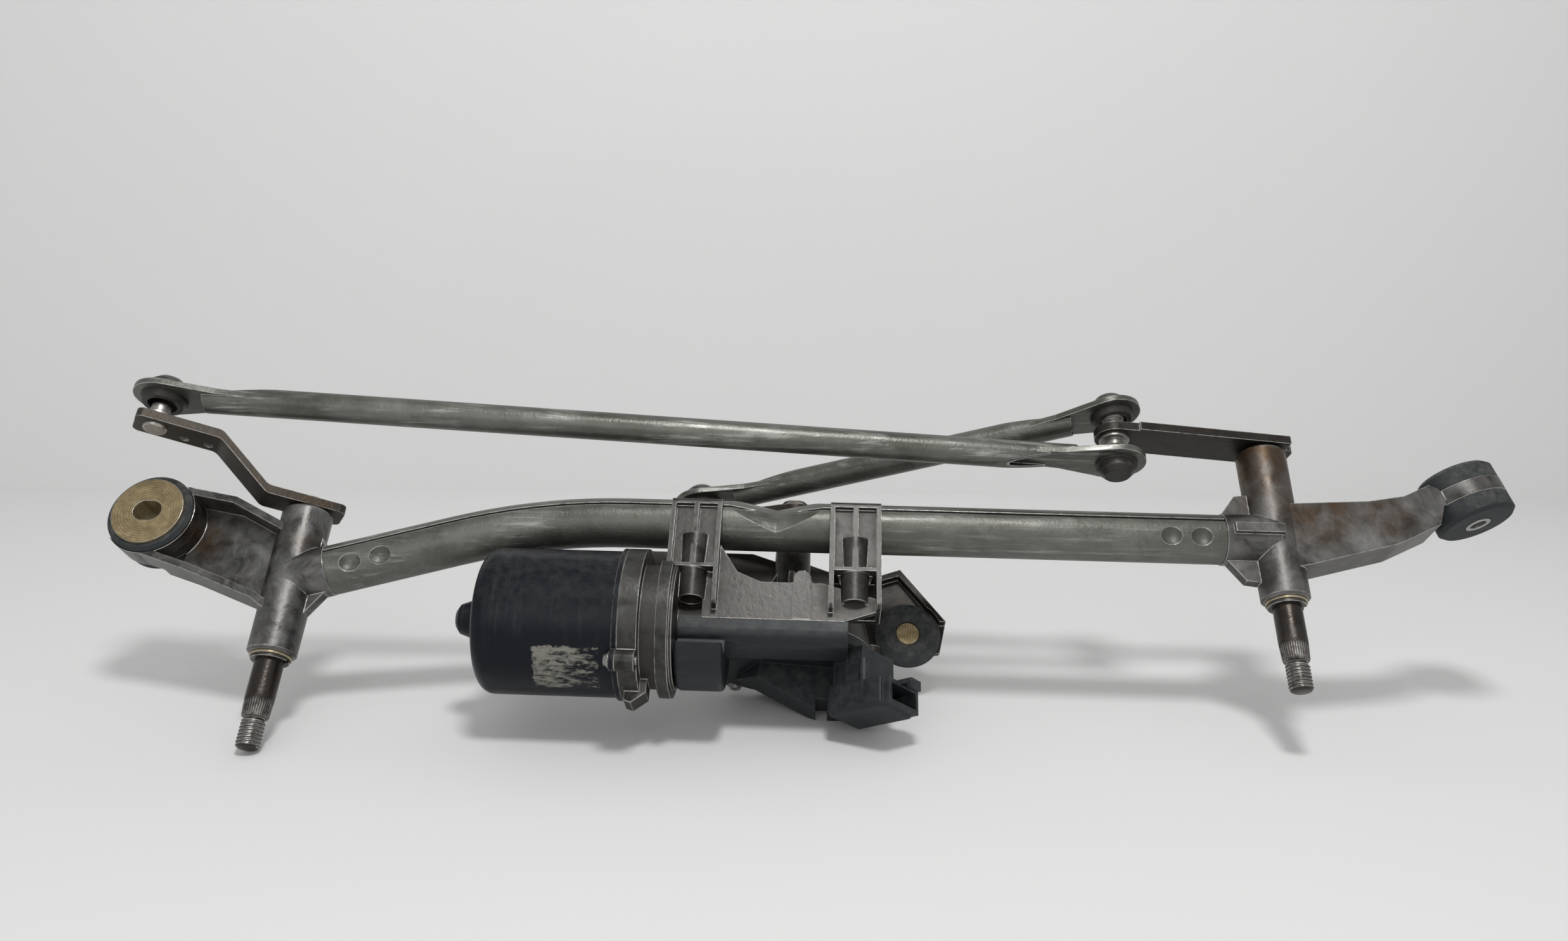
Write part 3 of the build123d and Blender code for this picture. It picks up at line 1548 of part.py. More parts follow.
def main():
    os.makedirs("parts", exist_ok=True)
    make_parts()
    laid = lay_down()[1]
    for name, shape in laid.items():
        shape.label = name
        export_step(shape, f"parts/{name}.step")
    print(len(laid), "nodes; swings of right lever, left lever and crank in degrees:")
    print(round(right_swing, 2), round(left_swing, 2), round(crank_swing, 2))


if __name__ == "__main__":
    main()
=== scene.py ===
import json
import math

import bmesh
import bpy
from bpy.props import FloatProperty, FloatVectorProperty, IntProperty, PointerProperty
from mathutils import Matrix, Vector


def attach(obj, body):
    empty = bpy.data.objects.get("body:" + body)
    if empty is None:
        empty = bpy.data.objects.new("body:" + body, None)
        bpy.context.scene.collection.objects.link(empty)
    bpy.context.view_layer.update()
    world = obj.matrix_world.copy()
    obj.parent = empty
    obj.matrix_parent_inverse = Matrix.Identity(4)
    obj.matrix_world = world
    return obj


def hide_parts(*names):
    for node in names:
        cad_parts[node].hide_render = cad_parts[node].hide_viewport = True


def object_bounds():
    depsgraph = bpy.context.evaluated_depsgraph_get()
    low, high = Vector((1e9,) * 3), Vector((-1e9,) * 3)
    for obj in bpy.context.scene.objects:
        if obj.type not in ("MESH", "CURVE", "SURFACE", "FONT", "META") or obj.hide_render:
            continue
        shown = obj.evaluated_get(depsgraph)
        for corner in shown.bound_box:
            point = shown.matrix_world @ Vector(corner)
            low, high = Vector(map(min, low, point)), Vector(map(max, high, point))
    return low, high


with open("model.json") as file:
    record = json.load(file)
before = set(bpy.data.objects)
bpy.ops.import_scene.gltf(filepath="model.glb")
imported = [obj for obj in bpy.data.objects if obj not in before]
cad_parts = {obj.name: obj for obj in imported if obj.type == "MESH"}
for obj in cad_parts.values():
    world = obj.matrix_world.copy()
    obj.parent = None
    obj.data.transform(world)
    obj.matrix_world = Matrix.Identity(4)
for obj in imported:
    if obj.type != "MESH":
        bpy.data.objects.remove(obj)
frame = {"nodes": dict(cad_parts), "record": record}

CAD_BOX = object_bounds()
# Width of the photograph in pixels, for the camera's focal length
IMAGE_WIDTH = 2474

bl_info = {
    "name": "Wiper Linkage Finish",
    "version": (1, 0, 0),
    "blender": (4, 5, 0),
    "location": "3D View > Sidebar > Wiper",
    "description": "Finishes, fasteners and studio for a used front wiper linkage with its motor",
    "category": "Object",
}


# Height of the left spindle thread's mount above the linkage's origin, in metres
MOUNT_HEIGHT = 0.006
HALF_SPAN = 215.0


# The linkage's own axes, in millimetres: X from spindle to spindle, Z up the spindles.
def linkage_axes():
    """Matrix from the linkage's own axes, in millimetres, to the frame, in metres."""
    mounts = {mount["name"]: mount for mount in frame["record"]["mounts"]}
    left = mounts["left_spindle_thread"]
    right = mounts["right_spindle_thread"]
    z_axis = -Vector(left["axis"]).normalized()
    span = Vector(right["pos_m"]) - Vector(left["pos_m"])
    span -= z_axis * span.dot(z_axis)
    x_axis = span.normalized()
    y_axis = z_axis.cross(x_axis)
    origin = Vector(left["pos_m"]) + span / 2 - z_axis * MOUNT_HEIGHT
    turn = Matrix((x_axis, y_axis, z_axis)).transposed().to_4x4()
    return Matrix.Translation(origin) @ turn @ Matrix.Scale(0.001, 4)


AXES = linkage_axes()
TO_LINKAGE = AXES.inverted()


def reach(node):
    """Lowest and highest corner of a CAD node along the linkage's own axes, in millimetres."""
    points = [TO_LINKAGE @ vertex.co for vertex in frame["nodes"][node].data.vertices]
    low = Vector([min(point[i] for point in points) for i in range(3)])
    high = Vector([max(point[i] for point in points) for i in range(3)])
    return low, high


def in_frame(x, y, z):
    """Point of the frame, in metres, from linkage millimetres."""
    return AXES @ Vector((x, y, z))


# Sizes and colours
def colour(name, description, default):
    return FloatVectorProperty(
        name=name, description=description, default=default, size=3, min=0.0, max=1.0, subtype="COLOR"
    )


class WiperColours(bpy.types.PropertyGroup):
    """Finishes of the linkage and its motor."""

    tube: colour("Tube", "Weathered olive-grey coating of the frame tube", (0.078, 0.078, 0.066))
    tube_pale: colour("Tube bloom", "Pale film on the tube and rods", (0.165, 0.167, 0.150))
    casting: colour("Casting", "Dull die-cast aluminium of the pivot housings", (0.27, 0.268, 0.262))
    gearcase: colour("Gearcase", "Die-cast aluminium of the gear housing", (0.23, 0.23, 0.22))
    # The grime colour paints both real dirt specks and shade in corners and recesses.
    grime_and_shade: colour("Grime and shade", "Oily dirt in corners and on the castings", (0.045, 0.040, 0.034))
    rust: colour("Rust", "Brown rust stain", (0.075, 0.048, 0.028))
    bare_metal: colour("Bare metal", "Metal that shows at rubbed edges", (0.62, 0.61, 0.58))
    can: colour("Motor can", "Black satin paint of the motor can", (0.0045, 0.0055, 0.0085))
    can_patch: colour("Worn patch", "Pale remains where the can's paint is worn", (0.25, 0.245, 0.21))
    plastic: colour("Cover plastic", "Blue-black plastic of cover and connector", (0.0105, 0.0130, 0.0150))
    cap: colour("Ball caps", "Brown-black plastic of the ball sockets", (0.022, 0.020, 0.019))
    rubber: colour("Rubber", "Rubber of the three mounts", (0.020, 0.023, 0.0245))
    yellow_zinc: colour("Yellow zinc", "Yellow plating of the mount sleeve and washers", (0.46, 0.36, 0.19))
    lever: colour("Levers", "Dulled plating of levers and crank", (0.027, 0.024, 0.020))
    spindle: colour("Spindles", "Oiled steel of the spindles", (0.028, 0.025, 0.023))
    dust: colour("Dust", "Dry dust on upper faces", (0.33, 0.32, 0.29))


class WiperSizes(bpy.types.PropertyGroup):
    """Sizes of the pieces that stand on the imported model."""

    thread_pitch: FloatProperty(
        name="Thread pitch", description="Pitch of the M10 spindle tips, in millimetres",
        default=1.5, min=0.5, max=3.0,
    )
    thread_depth: FloatProperty(
        name="Thread depth", description="Depth of the spindle threads, in millimetres",
        default=0.75, min=0.1, max=1.2,
    )
    knurl_teeth: IntProperty(
        name="Knurl teeth", description="Teeth round the taper that holds the wiper arm",
        default=36, min=12, max=60,
    )
    knurl_depth: FloatProperty(
        name="Knurl depth", description="Depth of the teeth on the taper, in millimetres",
        default=0.32, min=0.05, max=0.8,
    )
    screw_head: FloatProperty(
        name="Screw head radius", description="Radius of the cover's screw heads, in millimetres",
        default=3.5, min=2.0, max=6.0,
    )
    recess: FloatProperty(
        name="Screw recess", description="Radius of the six-lobed recess, in millimetres",
        default=1.7, min=0.5, max=3.0,
    )
    edge_width: FloatProperty(
        name="Edge wear", description="Width of the rubbed edges, in metres",
        default=0.0007, min=0.0001, max=0.003, unit="LENGTH",
    )


class WiperStudio(bpy.types.PropertyGroup):
    """Floor, wall, lamps and camera."""

    paper: colour("Backdrop", "Colour of the floor and wall", (0.755, 0.757, 0.752))
    wall_distance: FloatProperty(
        name="Wall distance", description="From the middle of the object to the wall, in metres",
        default=0.4475, min=0.2, max=3.0, unit="LENGTH",
    )
    wall_turn: FloatProperty(
        name="Wall turn", description="Turn of the wall about the vertical",
        default=math.radians(5.3), subtype="ANGLE",
    )
    lamp_height: FloatProperty(
        name="Lamp height", description="Height of the main lamp, in metres",
        default=1.05, min=0.3, max=3.0, unit="LENGTH",
    )
    lamp_power: FloatProperty(
        name="Lamp power", description="Power of the main lamp, in watts", default=5.4, min=0.0, max=100.0
    )
    fill_power: FloatProperty(
        name="Fill power", description="Power of the wide lamp behind the camera, in watts",
        default=7.5, min=0.0, max=100.0,
    )
    sky: FloatProperty(
        name="Room light", description="Strength of the even light of the room",
        default=0.52, min=0.0, max=2.0,
    )


# Small helpers for node trees
def feed(tree, node, inputs):
    """Links or sets a node's inputs, which are other nodes' outputs or plain values."""
    for key, value in inputs.items():
        if isinstance(value, bpy.types.NodeSocket):
            tree.links.new(value, node.inputs[key])
        else:
            node.inputs[key].default_value = value


def make(tree, kind, inputs=None, **settings):
    """Adds a node with its settings and inputs."""
    node = tree.nodes.new(kind)
    for key, value in settings.items():
        setattr(node, key, value)
    feed(tree, node, inputs or {})
    return node


def calc(tree, operation, first, second=0.0):
    """Output of a math node."""
    return make(tree, "ShaderNodeMath", {0: first, 1: second}, operation=operation).outputs[0]


def vector_calc(tree, operation, first, second, output="Vector"):
    """Output of a vector math node."""
    inputs = {0: first, 1: second}
    return make(tree, "ShaderNodeVectorMath", inputs, operation=operation).outputs[output]


def spread(tree, value, low, high, bottom=0.0, top=1.0):
    """Stretches a value's range low to high over bottom to top."""
    node = make(tree, "ShaderNodeMapRange", {0: value, 1: low, 2: high, 3: bottom, 4: top})
    return node.outputs[0]


def tint(shade, factor=1.0, added=0.0):
    """Colour for a node: a shade times a factor, plus an even amount, opaque."""
    return (*(channel * factor + added for channel in shade), 1.0)


def scaled(shade, factor):
    """A shade made darker or lighter."""
    return tuple(channel * factor for channel in shade)


def blend(tree, factor, first, second, mode="MIX"):
    """Mixes two colours by a factor."""
    inputs = {0: factor, 6: first, 7: second}
    return make(tree, "ShaderNodeMix", inputs, data_type="RGBA", blend_type=mode).outputs[2]


def noise(tree, vector, scale, detail=4.0, roughness=0.55, distortion=0.0):
    inputs = {
        "Vector": vector, "Scale": scale, "Detail": detail, "Roughness": roughness, "Distortion": distortion
    }
    return make(tree, "ShaderNodeTexNoise", inputs).outputs[0]


def new_group(name, takes, gives):
    """Shader node group with named inputs and outputs."""
    tree = bpy.data.node_groups.new(name, "ShaderNodeTree")
    for label, kind, default in takes:
        socket = tree.interface.new_socket(label, in_out="INPUT", socket_type=kind)
        if default is not None:
            socket.default_value = default
    for label, kind in gives:
        tree.interface.new_socket(label, in_out="OUTPUT", socket_type=kind)
    return tree, make(tree, "NodeGroupInput").outputs, make(tree, "NodeGroupOutput").inputs


FLOAT = "NodeSocketFloat"
VECTOR = "NodeSocketVector"


def edge_wear_group():
    """Rubbed edges, broken up by noise, and a slightly rounded normal."""
    tree, take, give = new_group(
        "Edge wear",
        [("Vector", VECTOR, None), ("Width", FLOAT, 0.0007), ("Scale", FLOAT, 300.0), ("Amount", FLOAT, 1.0)],
        [("Mask", FLOAT), ("Normal", VECTOR)],
    )
    rounded = make(tree, "ShaderNodeBevel", {"Radius": take["Width"]}, samples=6).outputs[0]
    plain = make(tree, "ShaderNodeNewGeometry").outputs["Normal"]
    same = vector_calc(tree, "DOT_PRODUCT", rounded, plain, "Value")
    turn = calc(tree, "SUBTRACT", 1.0, same)
    broken = spread(tree, noise(tree, take["Vector"], take["Scale"]), 0.35, 0.65, 0.25, 1.6)
    worn = calc(tree, "MULTIPLY", calc(tree, "MULTIPLY", turn, broken), take["Amount"])
    tree.links.new(spread(tree, worn, 0.02, 0.16), give["Mask"])
    tree.links.new(rounded, give["Normal"])
    return tree


def grime_and_shade_group():
    """Dirt that gathers in corners and recesses, with painted shade there: the mask grows where ambient
    occlusion finds the surface hidden.
    """
    tree, take, give = new_group(
        "Corner grime and shade",
        [("Vector", VECTOR, None), ("Distance", FLOAT, 0.006), ("Scale", FLOAT, 120.0)],
        [("Mask", FLOAT)],
    )
    hidden = make(
        tree, "ShaderNodeAmbientOcclusion", {"Distance": take["Distance"]}, samples=6, only_local=True
    ).outputs["AO"]
    patchy = spread(tree, noise(tree, take["Vector"], take["Scale"]), 0.3, 0.7, 0.35, 1.15)
    # Ambient occlusion drives this mask, so it paints shade into hidden corners and recesses as well as
    # marking dirt.
    deep = calc(tree, "MULTIPLY", spread(tree, hidden, 0.45, 0.95, 1.0, 0.0), patchy)
    tree.links.new(spread(tree, deep, 0.0, 1.0), give["Mask"])
    return tree


def mottle_group():
    """Soft cloudy patches with sharper specks inside them."""
    tree, take, give = new_group(
        "Mottle",
        [("Vector", VECTOR, None), ("Scale", FLOAT, 60.0), ("Contrast", FLOAT, 1.0)],
        [("Patches", FLOAT), ("Specks", FLOAT)],
    )
    cloud = noise(tree, take["Vector"], take["Scale"], 6.0, 0.6, 0.6)
    half = calc(tree, "DIVIDE", 0.18, take["Contrast"])
    low = calc(tree, "SUBTRACT", 0.5, half)
    high = calc(tree, "ADD", 0.5, half)
    fine_scale = calc(tree, "MULTIPLY", take["Scale"], 9.0)
    specks = spread(tree, noise(tree, take["Vector"], fine_scale, 3.0, 0.7), 0.58, 0.72)
    tree.links.new(spread(tree, cloud, low, high), give["Patches"])
    tree.links.new(specks, give["Specks"])
    return tree


def cast_grain_group():
    """Height of the orange-peel and pits of a die-cast or moulded face."""
    tree, take, give = new_group(
        "Cast grain",
        [("Vector", VECTOR, None), ("Scale", FLOAT, 900.0), ("Pits", FLOAT, 0.4)],
        [("Height", FLOAT)],
    )
    peel = noise(tree, take["Vector"], take["Scale"], 3.0, 0.6)
    wide = calc(tree, "MULTIPLY", take["Scale"], 0.3)
    cells = make(tree, "ShaderNodeTexVoronoi", {"Vector": take["Vector"], "Scale": wide}).outputs["Distance"]
    pits = calc(tree, "MULTIPLY", spread(tree, cells, 0.0, 0.25, -1.0, 0.0), take["Pits"])
    tree.links.new(calc(tree, "ADD", peel, pits), give["Height"])
    return tree


def streak_group():
    """Thin rubbed streaks along one direction of the piece."""
    tree, take, give = new_group(
        "Streaks",
        [("Vector", VECTOR, None), ("Stretch", VECTOR, (1.0, 1.0, 1.0)), ("Scale", FLOAT, 200.0)],
        [("Mask", FLOAT)],
    )
    drawn = vector_calc(tree, "MULTIPLY", take["Vector"], take["Stretch"])
    lines = noise(tree, drawn, take["Scale"], 5.0, 0.65)
    gaps = noise(tree, take["Vector"], 40.0, 2.0)
    mask = calc(tree, "MULTIPLY", spread(tree, lines, 0.52, 0.68), spread(tree, gaps, 0.4, 0.62))
    tree.links.new(mask, give["Mask"])
    return tree


def dust_group():
    """Dry dust on faces that look up as the part lies."""
    tree, take, give = new_group(
        "Dust",
        [("Vector", VECTOR, None), ("Scale", FLOAT, 250.0), ("Amount", FLOAT, 0.5)],
        [("Mask", FLOAT)],
    )
    normal = make(tree, "ShaderNodeTexCoord").outputs["Normal"]
    facing = make(tree, "ShaderNodeSeparateXYZ", {0: normal}).outputs["Z"]
    upper = spread(tree, facing, 0.1, 0.95)
    patchy = spread(tree, noise(tree, take["Vector"], take["Scale"], 6.0, 0.65), 0.38, 0.66)
    mask = calc(tree, "MULTIPLY", calc(tree, "MULTIPLY", upper, patchy), take["Amount"])
    tree.links.new(mask, give["Mask"])
    return tree


def effects():
    """Builds each shared node group once."""
    builders = {
        "Edge wear": edge_wear_group,
        "Corner grime and shade": grime_and_shade_group,
        "Mottle": mottle_group,
        "Cast grain": cast_grain_group,
        "Streaks": streak_group,
        "Dust": dust_group,
    }
    for name, build in builders.items():
        if name not in bpy.data.node_groups:
            build()


def effect(tree, name, inputs):
    """Places a shared node group in a material and returns its outputs."""
    node = tree.nodes.new("ShaderNodeGroup")
    node.node_tree = bpy.data.node_groups[name]
    feed(tree, node, inputs)
    return node.outputs


def new_surface(name):
    """Empty material with its shader and its object coordinates."""
    effects()
    material = bpy.data.materials.new(name)
    material.use_nodes = True
    tree = material.node_tree
    tree.nodes.clear()
    shader = make(tree, "ShaderNodeBsdfPrincipled")
    make(tree, "ShaderNodeOutputMaterial", {"Surface": shader.outputs[0]})
    place = make(tree, "ShaderNodeTexCoord").outputs["Object"]
    return material, tree, shader, place


def along_linkage(tree, place):
    """Object coordinates turned to the linkage's own axes, in metres from its origin."""
    turn = TO_LINKAGE.to_3x3().normalized()
    inputs = {
        "Vector": place, "Location": TO_LINKAGE.translation * 0.001, "Rotation": turn.to_euler("XYZ")
    }
    return make(tree, "ShaderNodeMapping", inputs, vector_type="POINT").outputs[0]


def stain(tree, place, spots, patchy):
    """Mask of soft broken patches round points given in linkage millimetres, each with its radius."""
    mask = 0.0
    for x, y, z, radius in spots:
        apart = vector_calc(tree, "DISTANCE", place, (x / 1000, y / 1000, z / 1000), "Value")
        mask = calc(tree, "MAXIMUM", mask, spread(tree, apart, radius / 2500, radius / 900, 1.0, 0.0))
    return calc(tree, "MULTIPLY", mask, spread(tree, patchy, 0.36, 0.6, 0.25, 1.0))


def lumpy(tree, shader, height, depth, normal=None):
    """Feeds a height to the shader's normal, over an optional rounded normal."""
    inputs = {"Height": height, "Distance": depth, "Strength": 1.0}
    if normal is not None:
        inputs["Normal"] = normal
    bump = make(tree, "ShaderNodeBump", inputs)
    tree.links.new(bump.outputs[0], shader.inputs["Normal"])


def colours():
    return bpy.context.scene.wiper_colours


def sizes():
    return bpy.context.scene.wiper_sizes


def studio():
    return bpy.context.scene.wiper_studio


# Height of the grain's bumps on castings, plastics and the painted can, in metres
CAST_DEPTH = 0.00012
MOULDED_DEPTH = 0.00006
PAINT_DEPTH = 0.00005
# Shares of dirt in the specks, and of gloss that dirt and rubbing take or give
SPECK_DIRT = 0.35
DIRT_ROUGHNESS = 0.22
RUBBED_GLOSS = 0.15
RUBBED_METAL = 0.9


def worn_metal(
    name, base, pale, metallic, rough, grain, rust=0.0, streaks=0.0, wear=1.0, grime_and_shade=1.0, scale=55.0,
    spots=(), turned_about=None, dirt_and_shade_reach=0.006,
):
    """Dulled metal: cloudy tone, corner grime with painted shade in corners and recesses, rust, streaks,
    stained spots and rubbed edges.
    """
    tones = colours()
    material, tree, shader, place = new_surface(name)
    place = along_linkage(tree, place)
    mottle = effect(tree, "Mottle", {"Vector": place, "Scale": scale, "Contrast": 1.0})
    edges = effect(tree, "Edge wear", {"Vector": place, "Width": sizes().edge_width, "Amount": wear})
    dirt_and_shade = effect(tree, "Corner grime and shade", {"Vector": place, "Distance": dirt_and_shade_reach})["Mask"]
    shade = blend(tree, mottle["Patches"], tint(base), tint(pale))
    if streaks > 0:
        drawn = {"Vector": place, "Stretch": (0.06, 1.0, 1.0), "Scale": 420.0}
        lines = effect(tree, "Streaks", drawn)["Mask"]
        shade = blend(tree, calc(tree, "MULTIPLY", lines, streaks), shade, tint(tones.bare_metal))
    if turned_about:
        axis = (turned_about[0] / 1000, 0.0, turned_about[1] / 1000)
        local = vector_calc(tree, "SUBTRACT", place, axis)
        rings = make(
            tree, "ShaderNodeTexWave", {"Vector": local, "Scale": 260.0, "Distortion": 1.2, "Detail": 3.0},
            wave_type="RINGS", rings_direction="Y",
        ).outputs["Fac"]
        lathe = calc(tree, "MULTIPLY", spread(tree, rings, 0.4, 0.9), 0.4)
        shade = blend(tree, lathe, shade, tint(base, 0.45))
    if rust > 0:
        rusty = effect(tree, "Mottle", {"Vector": place, "Scale": scale * 2.1, "Contrast": 1.6})["Patches"]
        shade = blend(tree, calc(tree, "MULTIPLY", rusty, rust), shade, tint(tones.rust))
    if spots:
        brown = stain(tree, place, spots, noise(tree, place, 130.0, 5.0, 0.65))
        shade = blend(tree, brown, shade, tint(tones.rust))
    # Painted shade and grime: the grime colour darkens corners and recesses where the occlusion mask finds
    # them hidden.
    shade = blend(tree, calc(tree, "MULTIPLY", dirt_and_shade, grime_and_shade), shade, tint(tones.grime_and_shade))
    shade = blend(tree, calc(tree, "MULTIPLY", mottle["Specks"], SPECK_DIRT), shade, tint(tones.grime_and_shade))
    shade = blend(tree, edges["Mask"], shade, tint(tones.bare_metal))
    tree.links.new(shade, shader.inputs["Base Color"])
    dull = spread(tree, mottle["Patches"], 0.0, 1.0, rough - 0.08, rough + 0.1)
    dull = calc(tree, "ADD", dull, calc(tree, "MULTIPLY", dirt_and_shade, DIRT_ROUGHNESS))
    dull = calc(tree, "SUBTRACT", dull, calc(tree, "MULTIPLY", edges["Mask"], RUBBED_GLOSS))
    tree.links.new(dull, shader.inputs["Roughness"])
    metal = calc(tree, "SUBTRACT", metallic, calc(tree, "MULTIPLY", dirt_and_shade, metallic * 0.7))
    metal = calc(tree, "MAXIMUM", metal, calc(tree, "MULTIPLY", edges["Mask"], RUBBED_METAL))
    tree.links.new(metal, shader.inputs["Metallic"])
    height = effect(tree, "Cast grain", {"Vector": place, "Scale": grain, "Pits": 0.35})["Height"]
    lumpy(tree, shader, height, CAST_DEPTH, edges["Normal"])
    return material


def moulded(name, base, rough, grain, dust=0.5, wear=0.35):
    """Moulded plastic or rubber: fine grain, paler rubbed edges, scuffs and dust."""
    tones = colours()
    material, tree, shader, place = new_surface(name)
    edges = effect(tree, "Edge wear", {"Vector": place, "Width": sizes().edge_width, "Amount": wear})
    place = along_linkage(tree, place)
    mottle = effect(tree, "Mottle", {"Vector": place, "Scale": 90.0, "Contrast": 0.8})
    rubbed = {"Vector": place, "Stretch": (0.15, 1.0, 0.4), "Scale": 500.0}
    scuffs = effect(tree, "Streaks", rubbed)["Mask"]
    settled = effect(tree, "Dust", {"Vector": place, "Amount": dust})["Mask"]
    soft = (*(min(1.0, channel * 1.8 + 0.004) for channel in base), 1.0)
    shade = blend(tree, calc(tree, "MULTIPLY", mottle["Patches"], 0.5), tint(base), soft)
    shade = blend(tree, calc(tree, "MULTIPLY", scuffs, 0.4), shade, tint(base, 3.0, 0.02))
    shade = blend(tree, edges["Mask"], shade, tint(base, 2.5, 0.03))
    shade = blend(tree, settled, shade, tint(tones.dust))
    tree.links.new(shade, shader.inputs["Base Color"])
    shader.inputs["Specular IOR Level"].default_value = 0.28
    dull = spread(tree, mottle["Patches"], 0.0, 1.0, rough - 0.06, rough + 0.1)
    tree.links.new(calc(tree, "ADD", dull, calc(tree, "MULTIPLY", settled, 0.4)), shader.inputs["Roughness"])
    height = effect(tree, "Cast grain", {"Vector": place, "Scale": grain, "Pits": 0.1})["Height"]
    lumpy(tree, shader, height, MOULDED_DEPTH, edges["Normal"])
    return material


def paint_nodes(material, *names):
    """Gives CAD nodes a finish."""
    for name in names:
        for slot in frame["nodes"][name].material_slots:
            slot.material = material


def finish(name):
    if name not in bpy.data.materials:
        raise RuntimeError(f"the finish {name} isn't made yet")
    return bpy.data.materials[name]


# Meshes
def relief(rows, around, lift=None):
    """Closed turned mesh about Z from rows of (height, radius), with an optional radial lift."""
    mesh = bmesh.new()
    rings = []
    for height, radius in rows:
        circle = []
        for i in range(around):
            angle = 2 * math.pi * i / around
            r = radius + (lift(height, angle) if lift else 0.0)
            circle.append(mesh.verts.new((r * math.cos(angle), r * math.sin(angle), height)))
        rings.append(circle)
    for low, high in zip(rings, rings[1:]):
        for i in range(around):
            j = (i + 1) % around
            mesh.faces.new((low[i], low[j], high[j], high[i]))
    for circle, flip in ((rings[0], True), (rings[-1], False)):
        height = circle[0].co.z
        pole = mesh.verts.new((0.0, 0.0, height))
        for i in range(around):
            a, b = circle[i], circle[(i + 1) % around]
            mesh.faces.new((b, a, pole) if flip else (a, b, pole))
    return mesh


def piece(name, mesh, material, body, stands_for=(), smooth=True):
    """Turns a mesh in linkage millimetres into a finished piece on a body."""
    if isinstance(mesh, bmesh.types.BMesh):
        data = bpy.data.meshes.new(name)
        mesh.to_mesh(data)
        mesh.free()
    else:
        data = mesh
        data.name = name
    data.transform(AXES)
    data.materials.clear()
    data.materials.append(material)
    obj = bpy.data.objects.new(name, data)
    bpy.context.scene.collection.objects.link(obj)
    if smooth:
        data.shade_smooth()
        data.set_sharp_from_angle(angle=math.radians(32))
    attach(obj, body)
    if stands_for:
        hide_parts(*stands_for)
    return obj


# Sizes of a spindle in millimetres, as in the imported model: radii, lengths and steps in the radius
TIP_RADIUS = 5.0
SHAFT_RADIUS = 6.0
TAPER_RADIUS = 5.45
NECK_RADIUS = 4.1
HEAD_RIM = 0.6
THREAD_END = 13.0
THREAD_LENGTH = 11.0
TAPER_LENGTH = 9.0
HEAD_HEIGHT = 1.6
LEVER_SEAT = 4.0
SEAT_DEPTH = 1.0
GROOVE_DEPTH = 0.65
GROOVE_GAP = 0.05
# Width of a sharp step between two rows, in millimetres
STEP = 0.01
TAPER_ROWS = 8
ROWS_A_TURN = 8
FOOT_CHAMFER = 1.15
POINTS_A_TOOTH = 5


def spindle_rows(side):
    """Height and radius rows of one spindle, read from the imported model, and its main heights."""
    low, high = reach(f"{side}_spindle")
    clip_low, clip_high = reach(f"{side}_circlip")
    foot, top = low.z, high.z
    shaft = min((high.x - low.x) / 2 - HEAD_RIM, SHAFT_RADIUS)
    groove_radius = shaft - GROOVE_DEPTH
    seat_radius = shaft - SEAT_DEPTH
    thread_top = foot + THREAD_END
    taper_top = thread_top + TAPER_LENGTH
    groove = clip_low.z - GROOVE_GAP
    groove_top = clip_high.z + GROOVE_GAP
    lever_top = top - HEAD_HEIGHT
    lever_foot = lever_top - LEVER_SEAT
    rows = [(foot, TIP_RADIUS - 1.6), (foot + 0.2, TIP_RADIUS - 1.05)]
    step = sizes().thread_pitch / ROWS_A_TURN
    rows += [(foot + 0.6 + step * i, TIP_RADIUS) for i in range(int(THREAD_LENGTH / step))]
    rows += [(thread_top - 1.0, NECK_RADIUS), (thread_top - 0.3, NECK_RADIUS)]
    rows += [(thread_top, TIP_RADIUS + 0.1), (thread_top + 0.4, TAPER_RADIUS)]
    for k in range(1, TAPER_ROWS + 1):
        share = k / TAPER_ROWS
        rows.append((thread_top + TAPER_LENGTH * share, TAPER_RADIUS + (shaft - TAPER_RADIUS) * share))
    rows += [(taper_top + 0.6, shaft), (groove - STEP, shaft), (groove, groove_radius)]
    rows += [(groove_top, groove_radius), (groove_top + STEP, shaft)]
    rows += [(lever_foot, shaft), (lever_foot + STEP, seat_radius), (lever_top, seat_radius)]
    rows += [(lever_top + STEP, shaft + HEAD_RIM), (lever_top + 0.5, shaft + 0.5)]
    rows += [(lever_top + 1.1, shaft - 0.3), (lever_top + 1.45, shaft - 1.6), (top, shaft - 3.2)]
    return rows, foot, thread_top, taper_top


def build_spindle(side, x):
    """One spindle with its thread, knurled taper and riveted head."""
    rows, foot, thread_top, taper_top = spindle_rows(side)
    values = sizes()

    def lift(height, angle):
        """Radial change of the thread near the foot and of the teeth on the taper."""
        turns = angle / (2 * math.pi)
        if foot + 0.5 < height < thread_top - 1.1:
            phase = (height - foot) / values.thread_pitch - turns
            wave = abs((phase % 1.0) * 2 - 1)
            chamfer = max(0.0, FOOT_CHAMFER - (height - foot))
            return -max(chamfer, values.thread_depth * (1 - wave) ** 0.85)
        if thread_top + 0.3 < height < taper_top - 1.5:
            wave = abs((turns * values.knurl_teeth) % 1.0 * 2 - 1)
            return -values.knurl_depth * (1 - wave)
        return 0.0

    mesh = relief(rows, POINTS_A_TOOTH * values.knurl_teeth, lift)
    bmesh.ops.translate(mesh, verts=mesh.verts, vec=(x, 0, 0))
    piece(
        f"{side}_spindle_turned", mesh, finish("Oiled spindle steel"), f"{side}_rocker",
        (f"{side}_spindle",),
    )


# Shape of a screw's head: shares of its height and of its radius
COLLAR_HEIGHT = 0.3
DOME_HEIGHT = 0.75
DOME_FOOT = 0.25
DOME_TOP_RADIUS = 0.68
DOME_FOOT_RADIUS = 0.86
RECESS_WAIST = 0.68


